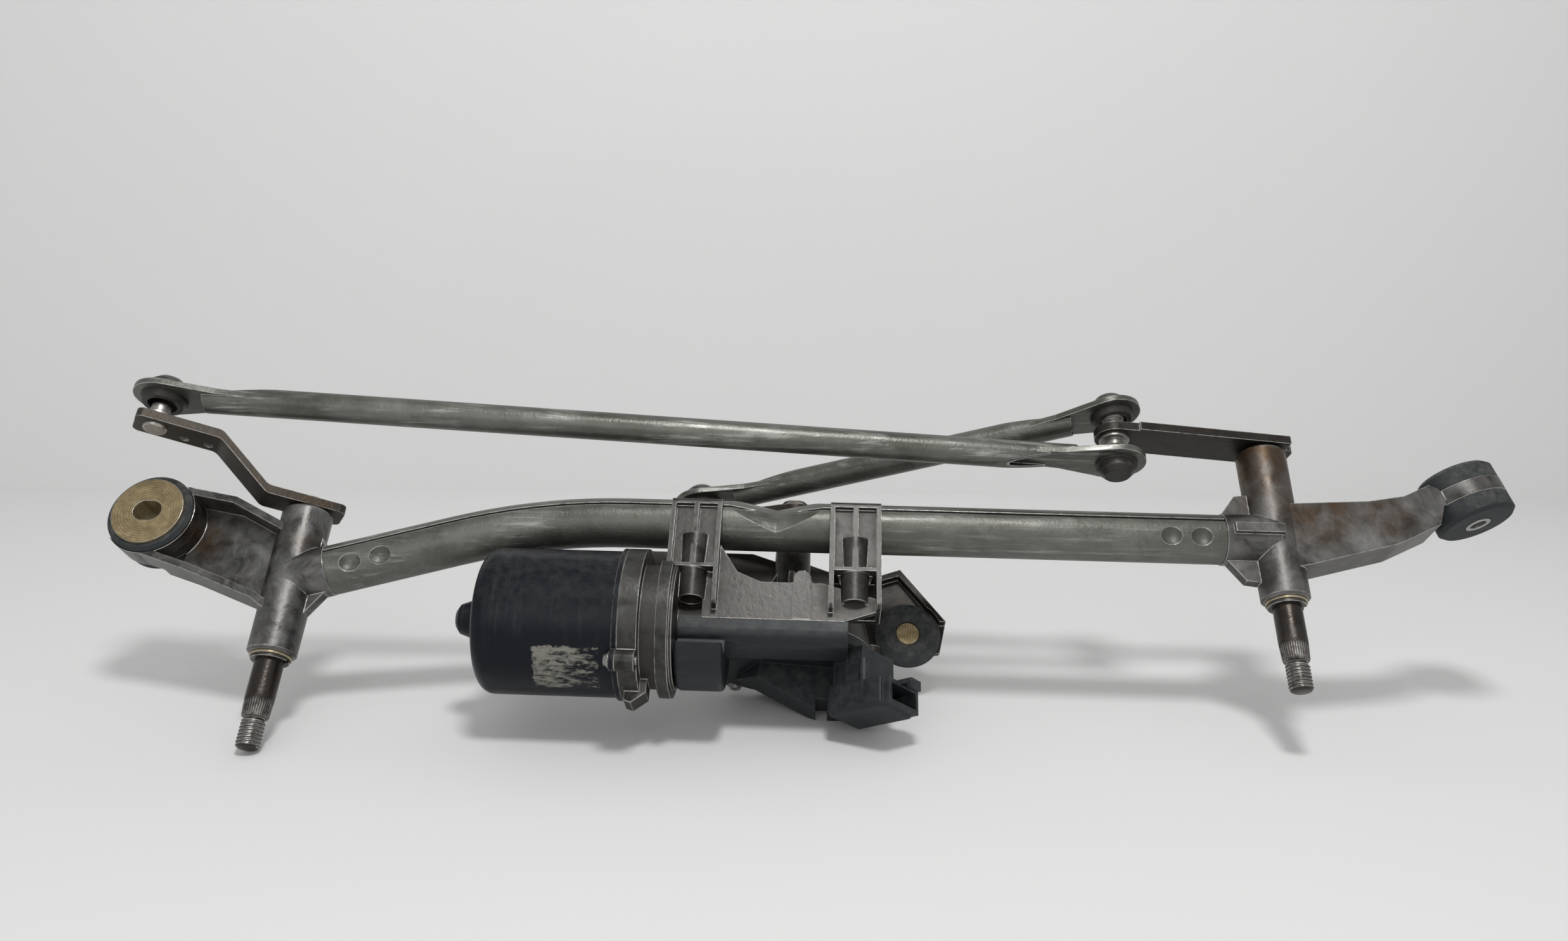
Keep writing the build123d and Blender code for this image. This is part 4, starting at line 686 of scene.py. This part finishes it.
# Fasteners by geometry nodes
def screw_tree():
    """Node tree that stands one screw on each point: head, washer face, six-lobed recess and shank."""
    tree = bpy.data.node_groups.new("Recessed screw", "GeometryNodeTree")
    tree.interface.new_socket("Points", in_out="INPUT", socket_type="NodeSocketGeometry")
    wanted = [
        ("Head Radius", "NodeSocketFloat", 3.5), ("Head Height", "NodeSocketFloat", 2.3),
        ("Shank Radius", "NodeSocketFloat", 1.8), ("Shank Length", "NodeSocketFloat", 8.0),
        ("Recess Radius", "NodeSocketFloat", 1.7), ("Head Sides", "NodeSocketInt", 32),
        ("Turn", "NodeSocketRotation", None), ("Material", "NodeSocketMaterial", None),
    ]
    for label, kind, default in wanted:
        socket = tree.interface.new_socket(label, in_out="INPUT", socket_type=kind)
        if default is not None:
            socket.default_value = default
    tree.interface.new_socket("Screws", in_out="OUTPUT", socket_type="NodeSocketGeometry")
    take = make(tree, "NodeGroupInput").outputs
    give = make(tree, "NodeGroupOutput").inputs

    def moved(geometry, z):
        offset = make(tree, "ShaderNodeCombineXYZ", {"Z": z}).outputs[0]
        return make(tree, "GeometryNodeTransform", {"Geometry": geometry, "Translation": offset}).outputs[0]

    half = calc(tree, "MULTIPLY", take["Head Height"], 0.5)
    collar_height = calc(tree, "MULTIPLY", take["Head Height"], COLLAR_HEIGHT)
    dome_height = calc(tree, "MULTIPLY", take["Head Height"], DOME_HEIGHT)
    collar = make(
        tree, "GeometryNodeMeshCylinder",
        {"Vertices": 40, "Radius": take["Head Radius"], "Depth": collar_height},
    ).outputs["Mesh"]
    collar = moved(collar, calc(tree, "MULTIPLY", collar_height, 0.5))
    dome = make(
        tree, "GeometryNodeMeshCone",
        {
            "Vertices": take["Head Sides"],
            "Radius Top": calc(tree, "MULTIPLY", take["Head Radius"], DOME_TOP_RADIUS),
            "Radius Bottom": calc(tree, "MULTIPLY", take["Head Radius"], DOME_FOOT_RADIUS),
            "Depth": dome_height,
        },
    ).outputs["Mesh"]
    dome = moved(dome, calc(tree, "MULTIPLY", take["Head Height"], DOME_FOOT))
    head = make(tree, "GeometryNodeMeshBoolean", {"Mesh 2": collar}, operation="UNION")
    tree.links.new(dome, head.inputs["Mesh 2"])
    star = make(
        tree, "GeometryNodeCurveStar",
        {
            "Points": 6, "Inner Radius": calc(tree, "MULTIPLY", take["Recess Radius"], RECESS_WAIST),
            "Outer Radius": take["Recess Radius"],
        },
    ).outputs["Curve"]
    filled = make(tree, "GeometryNodeFillCurve", {"Curve": star}).outputs[0]
    prism = make(
        tree, "GeometryNodeExtrudeMesh",
        {"Mesh": filled, "Offset Scale": take["Head Height"], "Individual": False},
    ).outputs["Mesh"]
    both = make(tree, "GeometryNodeJoinGeometry", {"Geometry": prism})
    bottom = make(tree, "GeometryNodeFlipFaces", {"Mesh": filled}).outputs[0]
    tree.links.new(bottom, both.inputs[0])
    solid = make(tree, "GeometryNodeMergeByDistance", {"Geometry": both.outputs[0]}).outputs[0]
    solid = moved(solid, half)
    hollow = make(
        tree, "GeometryNodeMeshBoolean", {"Mesh 1": head.outputs["Mesh"], "Mesh 2": solid},
        operation="DIFFERENCE",
    ).outputs["Mesh"]
    shank = make(
        tree, "GeometryNodeMeshCylinder",
        {"Vertices": 20, "Radius": take["Shank Radius"], "Depth": take["Shank Length"]},
    ).outputs["Mesh"]
    shank = moved(shank, calc(tree, "MULTIPLY", take["Shank Length"], -0.5))
    screw = make(tree, "GeometryNodeJoinGeometry", {"Geometry": hollow})
    tree.links.new(shank, screw.inputs[0])
    stand = make(
        tree, "GeometryNodeInstanceOnPoints",
        {"Points": take["Points"], "Instance": screw.outputs[0], "Rotation": take["Turn"]},
    ).outputs[0]
    real = make(tree, "GeometryNodeRealizeInstances", {"Geometry": stand}).outputs[0]
    done = make(
        tree, "GeometryNodeSetMaterial", {"Geometry": real, "Material": take["Material"]}
    ).outputs[0]
    tree.links.new(done, give["Screws"])
    return tree


def grown(tree, points, values, name):
    """Runs a geometry node tree on points and returns the result as a plain mesh."""
    base = bpy.data.meshes.new(name)
    base.from_pydata(points, [], [])
    obj = bpy.data.objects.new(name, base)
    bpy.context.scene.collection.objects.link(obj)
    modifier = obj.modifiers.new("Build", "NODES")
    modifier.node_group = tree
    for item in tree.interface.items_tree:
        if item.in_out == "INPUT" and item.name in values:
            modifier[item.identifier] = values[item.name]
    bpy.context.view_layer.update()
    graph = bpy.context.evaluated_depsgraph_get()
    mesh = bpy.data.meshes.new_from_object(obj.evaluated_get(graph))
    obj.modifiers.clear()
    bpy.data.objects.remove(obj)
    if not mesh.polygons:
        raise RuntimeError(f"{name} came out empty")
    return mesh


# Rusty places in the linkage's own axes: x, y, z and radius in millimetres
LEFT_STAINS = ((-215, 0, 92, 12), (-262, 0, 96, 14))
RIGHT_STAINS = ((215, 0, 146, 30), (232, -4, 122, 22), (262, 0, 118, 16))
LEVER_STAINS = ((-275, -37, 112, 16), (-215, 0, 109, 12), (-246, -20, 110, 10))
# Axis of the brass sleeve in the left mount: x and z in millimetres
SLEEVE_AXIS = (-281.0, 101.0)


class WIPER_OT_metal_finishes(bpy.types.Operator):
    """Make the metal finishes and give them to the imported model's pieces."""

    bl_idname = "wiper.metal_finishes"
    bl_label = "Metal finishes"

    def execute(self, context):
        c = colours()
        tube = worn_metal(
            "Weathered tube", c.tube, c.tube_pale, 0.6, 0.42, 700.0, rust=0.05, streaks=0.35, scale=38.0
        )
        paint_nodes(tube, "frame_tube")
        rod = worn_metal("Pressed rods", c.tube, c.tube_pale, 0.65, 0.4, 700.0, streaks=0.5, scale=30.0)
        paint_nodes(rod, "long_rod", "drive_rod")
        casting = worn_metal(
            "Left casting", scaled(c.casting, 0.14), scaled(c.casting, 0.72), 0.8, 0.38, 420.0,
            rust=0.1, wear=1.5, scale=110.0, spots=LEFT_STAINS,
        )
        paint_nodes(casting, "left_pivot_housing")
        casting = worn_metal(
            "Right casting", scaled(c.casting, 0.15), scaled(c.casting, 0.7), 0.75, 0.42, 420.0,
            rust=0.2, wear=1.3, scale=80.0, spots=RIGHT_STAINS,
        )
        paint_nodes(casting, "right_pivot_housing")
        # The gear housing's tones sit far below its casting colour: partly its own dull grey, partly painted
        # shade for faces the overhead light leaves dim.
        gearcase = worn_metal(
            "Gearcase casting", scaled(c.gearcase, 0.06), scaled(c.gearcase, 0.3), 0.7, 0.38,
            420.0, rust=0.12, wear=2.4, grime_and_shade=1.0, scale=120.0, dirt_and_shade_reach=0.014,
        )
        paint_nodes(gearcase, "gear_housing")
        lever = worn_metal(
            "Dull plated steel", c.lever, scaled(c.lever, 2.1), 0.7, 0.42, 600.0,
            rust=0.3, scale=80.0, spots=LEVER_STAINS,
        )
        paint_nodes(lever, "left_lever", "crank_arm", "crank_nut")
        dark = worn_metal(
            "Dark plated steel", scaled(c.lever, 0.35), scaled(c.lever, 0.85), 0.5, 0.42, 600.0,
            rust=0.15, scale=80.0,
        )
        paint_nodes(dark, "right_lever", "third_mount_bracket")
        spindle = worn_metal(
            "Oiled spindle steel", c.spindle, scaled(c.spindle, 2.2), 0.85, 0.32, 900.0, rust=0.25
        )
        paint_nodes(spindle, "left_spindle", "right_spindle", "output_shaft", "motor_shaft", "worm")
        ball = worn_metal(
            "Greased ball pins", (0.28, 0.27, 0.25), (0.5, 0.48, 0.45), 0.9, 0.28, 1200.0, grime_and_shade=0.7
        )
        paint_nodes(ball, "right_double_ball_pin", "left_pin", "crank_pin")
        gold = worn_metal(
            "Yellow zinc plating", scaled(c.yellow_zinc, 0.6), c.yellow_zinc, 0.65, 0.4, 800.0,
            rust=0.3, streaks=0.2, grime_and_shade=0.6, scale=170.0, turned_about=SLEEVE_AXIS,
        )
        paint_nodes(
            gold, "left_grommet_sleeve", "third_mount_pin", "left_thrust_washer", "right_thrust_washer",
            "output_thrust_washer", "contact_disc", "connector_pins",
        )
        zinc = worn_metal(
            "Plain zinc plating", (0.2, 0.2, 0.19), (0.42, 0.415, 0.4), 0.8, 0.36, 900.0, rust=0.15
        )
        paint_nodes(zinc, "right_grommet_sleeve", "bracket_screws", "can_screws", "cover_screws")
        clips = worn_metal(
            "Blackened spring steel", (0.035, 0.033, 0.03), (0.1, 0.095, 0.09), 0.7, 0.35, 900.0
        )
        paint_nodes(clips, "left_circlip", "right_circlip", "output_circlip")
        bronze = worn_metal("Sintered bronze", (0.22, 0.14, 0.07), (0.42, 0.29, 0.15), 0.8, 0.5, 1600.0)
        paint_nodes(
            bronze, "left_spindle_bushes", "right_spindle_bushes", "output_bushes", "worm_bearings",
            "can_bearing",
        )
        copper = worn_metal(
            "Enamelled copper", (0.3, 0.12, 0.05), (0.55, 0.25, 0.11), 0.8, 0.3, 1500.0, streaks=0.5
        )
        paint_nodes(copper, "armature_windings", "commutator", "contact_springs")
        core = worn_metal(
            "Laminated core", (0.1, 0.1, 0.105), (0.22, 0.22, 0.23), 0.8, 0.42, 1400.0, rust=0.2
        )
        paint_nodes(core, "armature_core")
        return {"FINISHED"}


# Middle of the worn patch along the can, in millimetres, and its angle round the can, in degrees
PATCH_X = -86.2
PATCH_ANGLE = -119.2
# Half length of the patch in metres, its half width in radians, and how far its border wanders
PATCH_HALF_LENGTH = 0.0130
PATCH_HALF_ANGLE = 0.33
PATCH_WANDER = 0.004
# Radians round the can for each metre that the border wanders
WANDER_TURN = 40.0
# Colours of the can's fine scratches and rubbed edges
SCRATCH = (0.07, 0.07, 0.075, 1.0)
RUBBED_PAINT = (0.2, 0.2, 0.2, 1.0)


class WIPER_OT_can_paint(bpy.types.Operator):
    """Paint the motor can: black satin with a worn pale patch and fine scratches."""

    bl_idname = "wiper.can_paint"
    bl_label = "Motor can paint"

    def patch(self, tree, place):
        """Mask of the worn patch: a ragged rectangle on the can, torn along its length."""
        apart = make(tree, "ShaderNodeSeparateXYZ", {0: place}).outputs
        rightward = calc(tree, "SUBTRACT", apart["X"], PATCH_X / 1000)
        upward = calc(tree, "SUBTRACT", apart["Z"], MOTOR_HEIGHT / 1000)
        angle = calc(tree, "ARCTAN2", upward, apart["Y"])
        angle = calc(tree, "ABSOLUTE", calc(tree, "SUBTRACT", angle, math.radians(PATCH_ANGLE)))
        border = calc(tree, "SUBTRACT", noise(tree, place, 320.0, 5.0), 0.5)
        ragged = calc(tree, "MULTIPLY", border, PATCH_WANDER)
        across = calc(tree, "ADD", calc(tree, "ABSOLUTE", rightward), ragged)
        inside = spread(tree, across, PATCH_HALF_LENGTH, PATCH_HALF_LENGTH + 0.0006, 1.0, 0.0)
        around = calc(tree, "ADD", angle, calc(tree, "MULTIPLY", ragged, WANDER_TURN))
        tall = spread(tree, around, PATCH_HALF_ANGLE, PATCH_HALF_ANGLE + 0.02, 1.0, 0.0)
        inside = calc(tree, "MULTIPLY", inside, tall)
        squashed = vector_calc(tree, "MULTIPLY", place, (0.4, 1.0, 1.0))
        torn = noise(tree, squashed, 460.0, 10.0, 0.75, 0.2)
        # The patch thins out toward its right end.
        torn = calc(tree, "SUBTRACT", torn, spread(tree, rightward, -0.004, 0.013, 0.0, 0.1))
        torn = spread(tree, torn, 0.41, 0.54, 0.0, 0.85)
        return calc(tree, "MULTIPLY", inside, torn)

    def execute(self, context):
        c = colours()
        material, tree, shader, place = new_surface("Motor can paint")
        place = along_linkage(tree, place)
        edges = effect(tree, "Edge wear", {"Vector": place, "Width": sizes().edge_width, "Amount": 0.8})
        mottle = effect(tree, "Mottle", {"Vector": place, "Scale": 45.0, "Contrast": 0.7})
        drawn = {"Vector": place, "Stretch": (1.0, 0.12, 0.12), "Scale": 520.0}
        lines = effect(tree, "Streaks", drawn)["Mask"]
        cloudy = calc(tree, "MULTIPLY", mottle["Patches"], 0.5)
        shade = blend(tree, cloudy, tint(c.can), tint(c.can, 1.6))
        shade = blend(tree, calc(tree, "MULTIPLY", lines, 0.22), shade, SCRATCH)
        patch = self.patch(tree, place)
        shade = blend(tree, patch, shade, tint(c.can_patch))
        shade = blend(tree, edges["Mask"], shade, RUBBED_PAINT)
        settled = effect(tree, "Dust", {"Vector": place, "Amount": 0.06})["Mask"]
        shade = blend(tree, settled, shade, tint(c.dust))
        tree.links.new(shade, shader.inputs["Base Color"])
        shader.inputs["Specular IOR Level"].default_value = 0.16
        rough = spread(tree, mottle["Patches"], 0.0, 1.0, 0.3, 0.36)
        rough = calc(tree, "ADD", rough, calc(tree, "MULTIPLY", patch, 0.35))
        tree.links.new(rough, shader.inputs["Roughness"])
        height = effect(tree, "Cast grain", {"Vector": place, "Scale": 800.0, "Pits": 0.15})["Height"]
        lumpy(tree, shader, height, PAINT_DEPTH, edges["Normal"])
        paint_nodes(material, "motor_can")
        return {"FINISHED"}


class WIPER_OT_plastic_finishes(bpy.types.Operator):
    """Make the plastic, rubber and inner finishes and give them to their pieces."""

    bl_idname = "wiper.plastic_finishes"
    bl_label = "Plastic and rubber finishes"

    def execute(self, context):
        c = colours()
        paint_nodes(moulded("Cover plastic", c.plastic, 0.42, 1300.0, dust=0.12), "gear_cover")
        paint_nodes(
            moulded("Ball socket plastic", c.cap, 0.4, 1500.0, dust=0.2, wear=0.6),
            "long_rod_left_socket", "long_rod_right_socket", "drive_rod_lever_socket",
            "drive_rod_crank_socket",
        )
        paint_nodes(
            moulded("Mount rubber", c.rubber, 0.68, 800.0, dust=0.25), "left_grommet", "right_grommet",
            "third_mount_rubber",
        )
        paint_nodes(moulded("Wheel nylon", (0.62, 0.6, 0.52), 0.35, 1500.0, dust=0.0), "worm_wheel")
        paint_nodes(moulded("Brush board", (0.16, 0.09, 0.04), 0.6, 1500.0, dust=0.1), "brush_plate")
        paint_nodes(moulded("Brush carbon", (0.03, 0.03, 0.032), 0.5, 2200.0, dust=0.0), "carbon_brushes")
        paint_nodes(moulded("Magnet ferrite", (0.06, 0.06, 0.065), 0.55, 1800.0, dust=0.0), "motor_magnets")
        return {"FINISHED"}


class WIPER_OT_spindles(bpy.types.Operator):
    """Turn both spindles with their threads, knurled tapers and riveted heads."""

    bl_idname = "wiper.spindles"
    bl_label = "Threaded spindles"

    def execute(self, context):
        build_spindle("left", -HALF_SPAN)
        build_spindle("right", HALF_SPAN)
        return {"FINISHED"}


# Places of the screws in linkage millimetres and degrees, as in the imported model
MOTOR_HEIGHT = 59.5
CAN_SCREW_SEAT = -67.3
CAN_SCREW_REACH = 34.6
CAN_SCREW_HEAD = 3.3
CAN_SCREW_ANGLES = (-133.0, 47.0)
BOWL_X = 3.0
BOWL_Y = 29.0
COVER_SCREW_REACH = 39.2
COVER_SCREW_ANGLES = (18.0, 130.0, -170.0)
COVER_SCREW_SEAT = 55.5
SCREW_LENGTH = 11.0


def on_circle(radius, degrees):
    """Pairs of coordinates on a circle about the origin."""
    turns = [math.radians(angle) for angle in degrees]
    return [(radius * math.cos(turn), radius * math.sin(turn)) for turn in turns]


class WIPER_OT_screws(bpy.types.Operator):
    """Set the can's and the cover's recessed screws."""

    bl_idname = "wiper.screws"
    bl_label = "Recessed screws"

    def execute(self, context):
        tree = screw_tree()
        zinc = finish("Plain zinc plating")
        shared = {"Recess Radius": sizes().recess, "Shank Length": SCREW_LENGTH, "Material": zinc}
        can_circle = on_circle(CAN_SCREW_REACH, CAN_SCREW_ANGLES)
        cover_circle = on_circle(COVER_SCREW_REACH, COVER_SCREW_ANGLES)
        sets = {
            "can_screws": (
                [(CAN_SCREW_SEAT, y, MOTOR_HEIGHT + z) for y, z in can_circle],
                {"Head Radius": CAN_SCREW_HEAD, "Turn": (0.0, -math.pi / 2, 0.0)},
            ),
            "cover_screws": (
                [(BOWL_X + x, BOWL_Y + y, COVER_SCREW_SEAT) for x, y in cover_circle],
                {"Head Radius": sizes().screw_head, "Turn": (math.pi, 0.0, 0.0)},
            ),
        }
        for node, (places, own) in sets.items():
            mesh = grown(tree, places, {**shared, **own}, f"{node}_set")
            piece(f"{node}_recessed", mesh, zinc, "frame", (node,))
        return {"FINISHED"}


# Camera place, aim and upward direction in the linkage's own axes, in millimetres
CAMERA_PLACE = (16.46, -482.78, -139.33)
CAMERA_AIM = (-0.02, -49.11, 108.99)
CAMERA_UP = (-0.02723, -0.4975, 0.86704)
CAMERA_FOCUS_PIXELS = 1924.0
SENSOR_WIDTH = 36.0
# Half width of floor and wall, the floor's depth before the wall and the wall's height, in metres
STUDIO_HALF_WIDTH = 4.0
FLOOR_DEPTH = 3.0
WALL_HEIGHT = 3.0
# Place and width of the lamps in metres; the main lamp's height is a setting
MAIN_LAMP = (0.06, -0.40)
MAIN_LAMP_WIDTH = 0.2
FILL_LAMP = (-0.2, -1.9, 1.1)
FILL_LAMP_WIDTH = 1.4


class WIPER_OT_stage(bpy.types.Operator):
    """Set up the floor, the wall, the lamps and the camera."""

    bl_idname = "wiper.stage"
    bl_label = "Studio"

    def paper(self):
        """Material of the floor and the wall."""
        material, tree, shader, place = new_surface("Backdrop paper")
        smudge = effect(tree, "Mottle", {"Vector": place, "Scale": 3.0, "Contrast": 0.5})
        base = studio().paper
        shade = blend(tree, smudge["Patches"], tint(base), tint(base, 0.975))
        tree.links.new(shade, shader.inputs["Base Color"])
        shader.inputs["Roughness"].default_value = 0.8
        shader.inputs["Specular IOR Level"].default_value = 0.16
        # The camera looks through the back of the paper, so that views from behind show the object.
        back = make(tree, "ShaderNodeNewGeometry").outputs["Backfacing"]
        seen = make(tree, "ShaderNodeLightPath").outputs["Is Camera Ray"]
        mix = make(tree, "ShaderNodeMixShader")
        tree.links.new(calc(tree, "MULTIPLY", back, seen), mix.inputs[0])
        tree.links.new(shader.outputs["BSDF"], mix.inputs[1])
        tree.links.new(make(tree, "ShaderNodeBsdfTransparent").outputs[0], mix.inputs[2])
        output = next(node for node in tree.nodes if node.type == "OUTPUT_MATERIAL")
        tree.links.new(mix.outputs[0], output.inputs["Surface"])
        return material

    def board(self, name, corners, material):
        """One flat face of the studio."""
        mesh = bpy.data.meshes.new(name)
        mesh.from_pydata(corners, [], [(0, 1, 2, 3)])
        mesh.materials.append(material)
        obj = bpy.data.objects.new(name, mesh)
        bpy.context.scene.collection.objects.link(obj)

    def lamp(self, name, place, size, power):
        """Round lamp that looks at the middle of the object."""
        light = bpy.data.lights.new(name, "AREA")
        light.shape = "DISK"
        light.size = size
        light.energy = power
        obj = bpy.data.objects.new(name, light)
        obj.location = place
        middle = (CAD_BOX[0] + CAD_BOX[1]) / 2
        obj.rotation_euler = (middle - Vector(place)).to_track_quat("-Z", "Y").to_euler()
        bpy.context.scene.collection.objects.link(obj)

    def execute(self, context):
        scene = bpy.context.scene
        s = studio()
        material = self.paper()
        along = Vector((math.cos(s.wall_turn), math.sin(s.wall_turn), 0))
        back = Vector((-along.y, along.x, 0))
        foot = Vector((0, s.wall_distance, 0))
        left, right = foot - along * STUDIO_HALF_WIDTH, foot + along * STUDIO_HALF_WIDTH
        front = back * -FLOOR_DEPTH
        self.board("floor", [left + front, right + front, right, left], material)
        up = Vector((0, 0, WALL_HEIGHT))
        self.board("wall", [left, right, right + up, left + up], material)
        self.lamp("main_lamp", (*MAIN_LAMP, s.lamp_height), MAIN_LAMP_WIDTH, s.lamp_power)
        self.lamp("front_fill", FILL_LAMP, FILL_LAMP_WIDTH, s.fill_power)
        world = bpy.data.worlds.new("Room")
        scene.world = world
        world.use_nodes = True
        room = world.node_tree.nodes["Background"].inputs
        room["Strength"].default_value = s.sky
        room["Color"].default_value = (1.0, 1.0, 1.0, 1.0)
        scene.view_settings.view_transform = "Standard"
        camera = bpy.data.cameras.new("Camera")
        camera.sensor_width = SENSOR_WIDTH
        camera.lens = CAMERA_FOCUS_PIXELS / IMAGE_WIDTH * SENSOR_WIDTH
        camera.clip_start = 0.01
        camera.clip_end = 50.0
        obj = bpy.data.objects.new("Camera", camera)
        scene.collection.objects.link(obj)
        turn = AXES.to_3x3().normalized()
        forward = (turn @ (Vector(CAMERA_AIM) - Vector(CAMERA_PLACE))).normalized()
        side = forward.cross(turn @ Vector(CAMERA_UP)).normalized()
        upward = side.cross(forward)
        obj.matrix_world = Matrix.Translation(in_frame(*CAMERA_PLACE)) @ Matrix(
            (side, upward, -forward)
        ).transposed().to_4x4()
        scene.camera = obj
        return {"FINISHED"}


class WIPER_PT_panel(bpy.types.Panel):
    """Lists the steps and their settings."""

    bl_idname = "WIPER_PT_panel"
    bl_label = "Wiper linkage"
    bl_space_type = "VIEW_3D"
    bl_region_type = "UI"
    bl_category = "Wiper"

    def draw(self, context):
        for step in STEPS:
            self.layout.operator(step.bl_idname)
        for group in (context.scene.wiper_sizes, context.scene.wiper_colours, context.scene.wiper_studio):
            box = self.layout.box()
            for name in group.bl_rna.properties.keys():
                if name not in ("rna_type", "name"):
                    box.prop(group, name)


STEPS = (
    WIPER_OT_metal_finishes,
    WIPER_OT_can_paint,
    WIPER_OT_plastic_finishes,
    WIPER_OT_spindles,
    WIPER_OT_screws,
    WIPER_OT_stage,
)
CLASSES = (WiperColours, WiperSizes, WiperStudio) + STEPS + (WIPER_PT_panel,)


def register():
    for item in CLASSES:
        bpy.utils.register_class(item)
    bpy.types.Scene.wiper_colours = PointerProperty(type=WiperColours)
    bpy.types.Scene.wiper_sizes = PointerProperty(type=WiperSizes)
    bpy.types.Scene.wiper_studio = PointerProperty(type=WiperStudio)


def unregister():
    del bpy.types.Scene.wiper_studio
    del bpy.types.Scene.wiper_sizes
    del bpy.types.Scene.wiper_colours
    for item in reversed(CLASSES):
        bpy.utils.unregister_class(item)


def main():
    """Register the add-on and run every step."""
    register()
    for step in STEPS:
        group, name = step.bl_idname.split(".")
        getattr(getattr(bpy.ops, group), name)()


if __name__ == "__main__":
    main()
